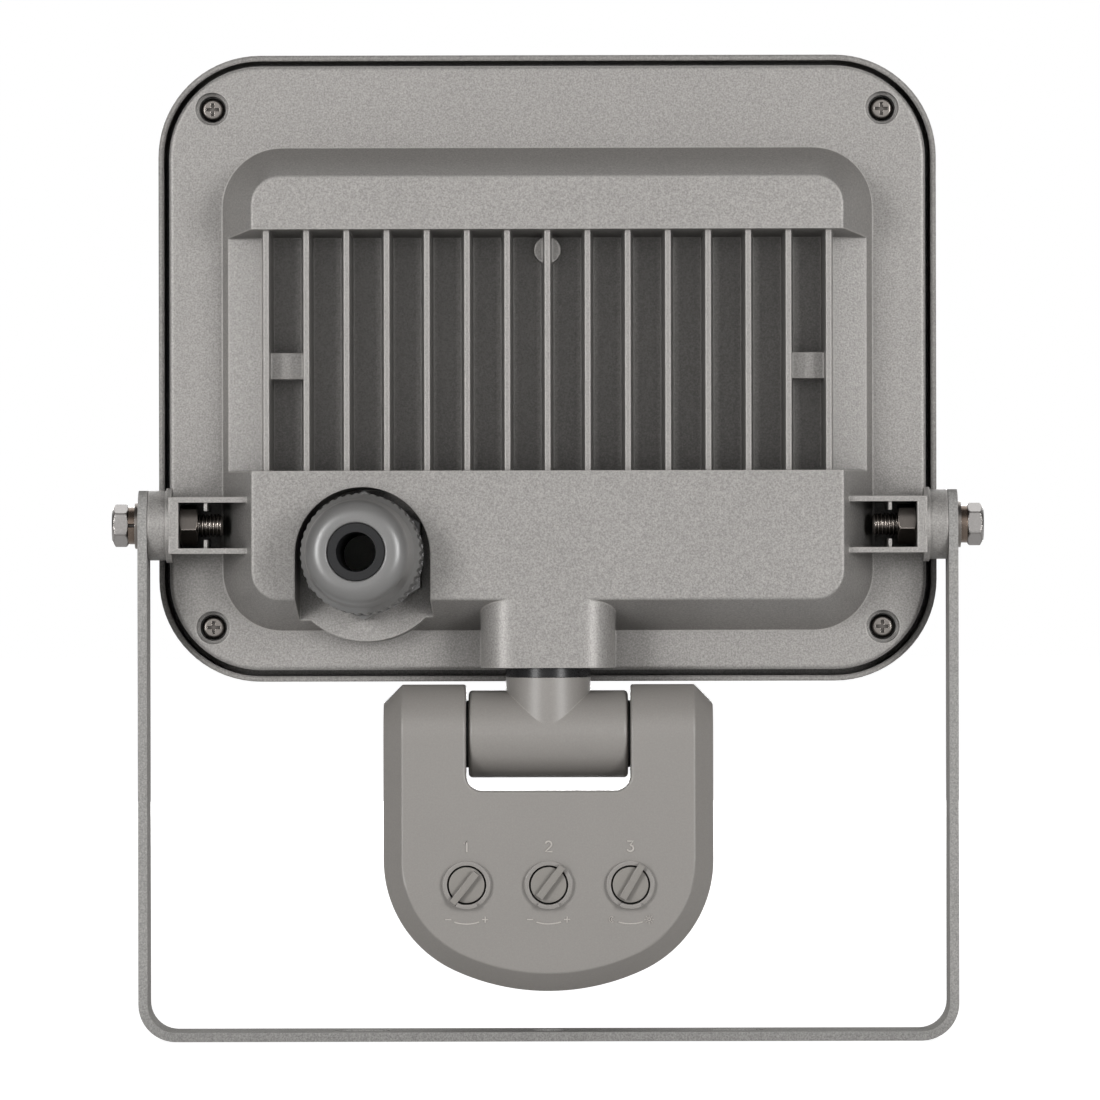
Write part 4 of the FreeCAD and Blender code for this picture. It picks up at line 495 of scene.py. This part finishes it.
# Section of a stroke: share of its width to one side, and height over the face
SIGN_SECTION = ((0.5, -SIGN_FOOT), (0.5, 0.0), (0.4, SIGN_RISE),
                (-0.4, SIGN_RISE), (-0.5, 0.0), (-0.5, -SIGN_FOOT))
END_REACH = 0.3        # how far a stroke goes past its last point, in widths
TOP_REACH = 0.6        # the same for its top, as a share of the foot's
KNOBS = ((1, -17.5), (2, 0.0), (3, 17.5))   # numeral and place of each knob
KNOB_Z = 33.6
NUMERAL_RISE = 8.2     # from a knob's centre up to its numeral's
NUMERAL_WIDTH = 0.38
ARC_RADIUS = 8.35      # arc between the low and high marks
ARC_WIDTH = 0.3
MARK_SIDE = 3.95       # from a knob's centre across and down to its marks
MARK_DROP = 7.4
MARK_REACH = 0.6       # half length of minus and plus
MARK_GAP = 0.15        # where the plus's upright starts from its bar's middle
MARK_WIDTH = 0.26
MOON_RADIUS, MOON_BITE, MOON_SHIFT, MOON_WIDTH = 0.62, 0.5, 0.32, 0.16
SUN_RADIUS, SUN_WIDTH = 0.3, 0.18
RAY_START, RAY_END, RAY_WIDTH = 0.55, 1.0, 0.14
RAYS = 8


def add_stroke(verts, faces, points, width):
    """One raised stroke along points, with sloping sides. A line that ends where it started
    makes a closed ring, and any other gets rounded-off ends."""
    line = [Vector(p) for p in points]
    closed = (line[0] - line[-1]).length < 1e-6
    if closed:
        line.pop()
    count = len(line)
    rows = []
    for i, here in enumerate(line):
        before = line[i - 1] if (i or closed) else here
        after = line[(i + 1) % count] if (i < count - 1 or closed) else here
        ahead = (after - before).normalized()
        across = Vector((-ahead.y, ahead.x))
        shift = Vector((0.0, 0.0))
        if not closed and i in (0, count - 1):
            shift = ahead * (width * END_REACH) * (1 if i else -1)
        row = []
        for share, level in SIGN_SECTION:
            reach = TOP_REACH if level == SIGN_RISE else 1.0
            spot = here + across * (width * share) + shift * reach
            row.append(len(verts))
            verts.append((-spot.x, SIGN_LEVEL + level, spot.y))
        rows.append(row)
    corners = len(SIGN_SECTION)
    for a, b in zip(rows, rows[1:] + rows[:1] if closed else rows[1:]):
        for i in range(corners):
            k = (i + 1) % corners
            faces.append((a[i], a[k], b[k], b[i]))
    if not closed:
        faces.append(tuple(rows[0]))
        faces.append(tuple(reversed(rows[-1])))


def arc_points(x, y, radius, start, end, count):
    """Points on an arc from one angle to another, in degrees anticlockwise from the right."""
    made = []
    for i in range(count + 1):
        angle = math.radians(start + (end - start) * i / count)
        made.append((x + radius * math.cos(angle), y + radius * math.sin(angle)))
    return made


def numeral(which, x, y):
    """The stroke of 1, 2 or 3, about 2.2 mm tall, about a centre."""
    if which == 1:
        return [(x - 0.5, y + 0.6), (x + 0.05, y + 1.1), (x + 0.05, y - 1.1)]
    if which == 2:
        return (arc_points(x, y + 0.45, 0.65, 160, -35, 10)
                + [(x - 0.65, y - 1.1), (x + 0.75, y - 1.1)])
    return ([(x - 0.6, y + 1.1), (x + 0.55, y + 1.1), (x - 0.08, y + 0.22)]
            + arc_points(x - 0.02, y - 0.43, 0.65, 80, -155, 10))


def add_moon_and_sun(verts, faces, low, high):
    """Marks of dark and light: a crescent, and a ring with rays."""
    outer = arc_points(low.x, low.y, MOON_RADIUS, 60, 300, 10)
    inner = arc_points(low.x + MOON_SHIFT, low.y, MOON_BITE, 285, 75, 8)
    add_stroke(verts, faces, outer + inner + outer[:1], MOON_WIDTH)
    add_stroke(verts, faces, arc_points(high.x, high.y, SUN_RADIUS, 0, 360, 12), SUN_WIDTH)
    starts = arc_points(high.x, high.y, RAY_START, 0, 360, RAYS)
    ends = arc_points(high.x, high.y, RAY_END, 0, 360, RAYS)
    for start, end in list(zip(starts, ends))[:RAYS]:
        add_stroke(verts, faces, [start, end], RAY_WIDTH)


def add_minus_and_plus(verts, faces, low, high):
    """Marks of less and more. The plus's upright is two strokes that stop short of its bar."""
    for mark in (low, high):
        add_stroke(verts, faces, [(mark.x - MARK_REACH, mark.y), (mark.x + MARK_REACH, mark.y)],
                   MARK_WIDTH)
    for way in (1, -1):
        add_stroke(verts, faces, [(high.x, high.y + MARK_GAP * way),
                                  (high.x, high.y + MARK_REACH * way)], MARK_WIDTH)


def make_signs():
    """Raised numerals above the knobs, and below each an arc between its low and high marks."""
    verts = []
    faces = []
    for which, x in KNOBS:
        add_stroke(verts, faces, numeral(which, x, KNOB_Z + NUMERAL_RISE), NUMERAL_WIDTH)
        add_stroke(verts, faces, arc_points(x, KNOB_Z, ARC_RADIUS, -108, -72, 14), ARC_WIDTH)
        low = Vector((x - MARK_SIDE, KNOB_Z - MARK_DROP))
        high = Vector((x + MARK_SIDE, KNOB_Z - MARK_DROP))
        add_marks = add_moon_and_sun if which == 3 else add_minus_and_plus
        add_marks(verts, faces, low, high)
    signs = new_piece("setting_signs", verts, faces, "sensor_plastic", "head", 30.0)
    signs.data.materials[0] = materials["raised_signs_painted_light"]


make_bolt("bolt_right", 1)
make_bolt("bolt_left", -1)
make_signs()


# Floor, lights and camera

FLOOR_HALF = 6.0
FLOOR_GAP = 0.0002             # from the bracket down to the floor
FLOOR_PAPER = 0.4
FLOOR_GLOW = (0.95, 1.0)       # glow under the object and far from it
GLOW_FADE = (0.25, 1.3)        # distances between which the one turns into the other
MIRRORED_FLOOR = 0.5           # how white the floor and the world's sides look in reflections
MIRRORED_SIDES = 0.2
SIDES_FADE = (0.35, 0.8)       # how far aside the sides' dimming starts and is full
WORLD_LIGHT = 0.02
CEILING = 0.15                 # how white the sky is overhead
CEILING_FADE = (0.45, 0.85)
LAMP_AIM = (0.0, 0.0, 0.11)
# Name, place, width, height and power of each softbox
SOFTBOXES = (
    ("softbox_left", (0.76, 1.06, 0.25), 0.34, 0.6, 8.35),
    ("softbox_right", (-0.76, 1.06, 0.25), 0.34, 0.6, 8.6),
    ("softbox_front", (0.0, -1.6, 0.26), 1.1, 0.5, 14.0),
    ("softbox_top", (0.0, -1.0, 1.25), 1.4, 1.4, 7.5),
)
CAMERA_LENS = 259.0
CAMERA_PLACE = (-0.00045, 1.7, 0.10510)
CAMERA_TURN = (90, 0.12, 180)  # degrees about X, Y and Z


def make_floor():
    """A wide white floor under the bracket. It looks white and keeps the object's shadow."""
    level = cad_low.z - FLOOR_GAP
    mesh = bpy.data.meshes.new("floor")
    corners = [(-FLOOR_HALF, -FLOOR_HALF, level), (FLOOR_HALF, -FLOOR_HALF, level),
               (FLOOR_HALF, FLOOR_HALF, level), (-FLOOR_HALF, FLOOR_HALF, level)]
    mesh.from_pydata(corners, [], [(0, 1, 2, 3)])
    floor = link(bpy.data.objects.new("floor", mesh))
    material = bpy.data.materials.new("floor_paper")
    t = Tree(material)
    out = t.node("ShaderNodeOutputMaterial")
    paper = t.node("ShaderNodeBsdfDiffuse", {"Color": grey(FLOOR_PAPER)})
    glow = t.node("ShaderNodeEmission", {"Color": WHITE})
    path = t.node("ShaderNodeLightPath")
    mirrored = t.node("ShaderNodeMath", {1: MIRRORED_FLOOR}, operation="MULTIPLY")
    t.join(path, "Is Glossy Ray", mirrored, 0)
    seen = t.larger(path, "Is Camera Ray", mirrored, "Value")
    seen_through = t.larger(seen, "Value", path, "Is Transmission Ray")
    spot = t.node("ShaderNodeNewGeometry")
    reach = t.node("ShaderNodeVectorMath", operation="LENGTH")
    t.join(spot, "Position", reach, 0)
    fading = t.node("ShaderNodeMapRange",
                    {"From Min": GLOW_FADE[0], "From Max": GLOW_FADE[1],
                     "To Min": FLOOR_GLOW[0], "To Max": FLOOR_GLOW[1]},
                    interpolation_type="SMOOTHSTEP")
    t.join(reach, "Value", fading, "Value")
    strength = t.node("ShaderNodeMath", operation="MULTIPLY")
    t.join(seen_through, "Value", strength, 0)
    t.join(fading, "Result", strength, 1)
    t.join(strength, "Value", glow, "Strength")
    both = t.node("ShaderNodeAddShader")
    t.join(paper, "BSDF", both, 0)
    t.join(glow, "Emission", both, 1)
    t.join(both, "Shader", out, "Surface")
    mesh.materials.append(material)


def make_world():
    """White all round at eye level and greyer overhead, with a little soft light of its own.
    In reflections its sides are dim, so slopes that face aside stay darker than the flats."""
    world = bpy.data.worlds.new("studio")
    scene.world = world
    t = Tree(world)
    out = t.node("ShaderNodeOutputWorld")
    soft = t.node("ShaderNodeBackground", {"Color": WHITE, "Strength": WORLD_LIGHT})
    direction = t.node("ShaderNodeTexCoord")
    parts = t.node("ShaderNodeSeparateXYZ")
    t.join(direction, "Generated", parts, 0)
    shade = t.ramp(parts, "Z", [(CEILING_FADE[0], WHITE), (CEILING_FADE[1], grey(CEILING))])
    shade.color_ramp.interpolation = "EASE"
    white = t.node("ShaderNodeBackground")
    t.join(shade, "Color", white, "Color")
    aside = t.node("ShaderNodeMath", operation="ABSOLUTE")
    t.join(parts, "X", aside, 0)
    dimmer = t.node("ShaderNodeMapRange",
                    {"From Min": SIDES_FADE[0], "From Max": SIDES_FADE[1],
                     "To Min": 1.0, "To Max": MIRRORED_SIDES},
                    interpolation_type="SMOOTHSTEP")
    t.join(aside, "Value", dimmer, "Value")
    path = t.node("ShaderNodeLightPath")
    level = t.node("ShaderNodeMix", {"A": 1.0})
    t.join(path, "Is Glossy Ray", level, "Factor")
    t.join(dimmer, "Result", level, "B")
    t.join(level, "Result", white, "Strength")
    seen = t.larger(path, "Is Camera Ray", path, "Is Glossy Ray")
    seen_through = t.larger(seen, "Value", path, "Is Transmission Ray")
    choice = t.node("ShaderNodeMixShader")
    t.join(seen_through, "Value", choice, 0)
    t.join(soft, "Background", choice, 1)
    t.join(white, "Background", choice, 2)
    t.join(choice, "Shader", out, "Surface")


def make_lamp(name, place, wide, tall, watts):
    data = bpy.data.lights.new(name, "AREA")
    data.shape = "RECTANGLE"
    data.size = wide
    data.size_y = tall
    data.energy = watts
    lamp = link(bpy.data.objects.new(name, data))
    lamp.location = place
    aim = Vector(LAMP_AIM) - Vector(place)
    lamp.rotation_euler = aim.to_track_quat("-Z", "Y").to_euler()


def make_camera():
    """Where the photograph was taken from: behind the lamp, level with the pivots."""
    data = bpy.data.cameras.new("camera")
    data.sensor_width = 36.0
    data.lens = CAMERA_LENS
    camera = link(bpy.data.objects.new("camera", data))
    camera.location = CAMERA_PLACE
    camera.rotation_euler = [math.radians(turn) for turn in CAMERA_TURN]
    scene.camera = camera


make_floor()
make_world()
for softbox in SOFTBOXES:
    make_lamp(*softbox)
make_camera()
scene.view_settings.view_transform = "Standard"
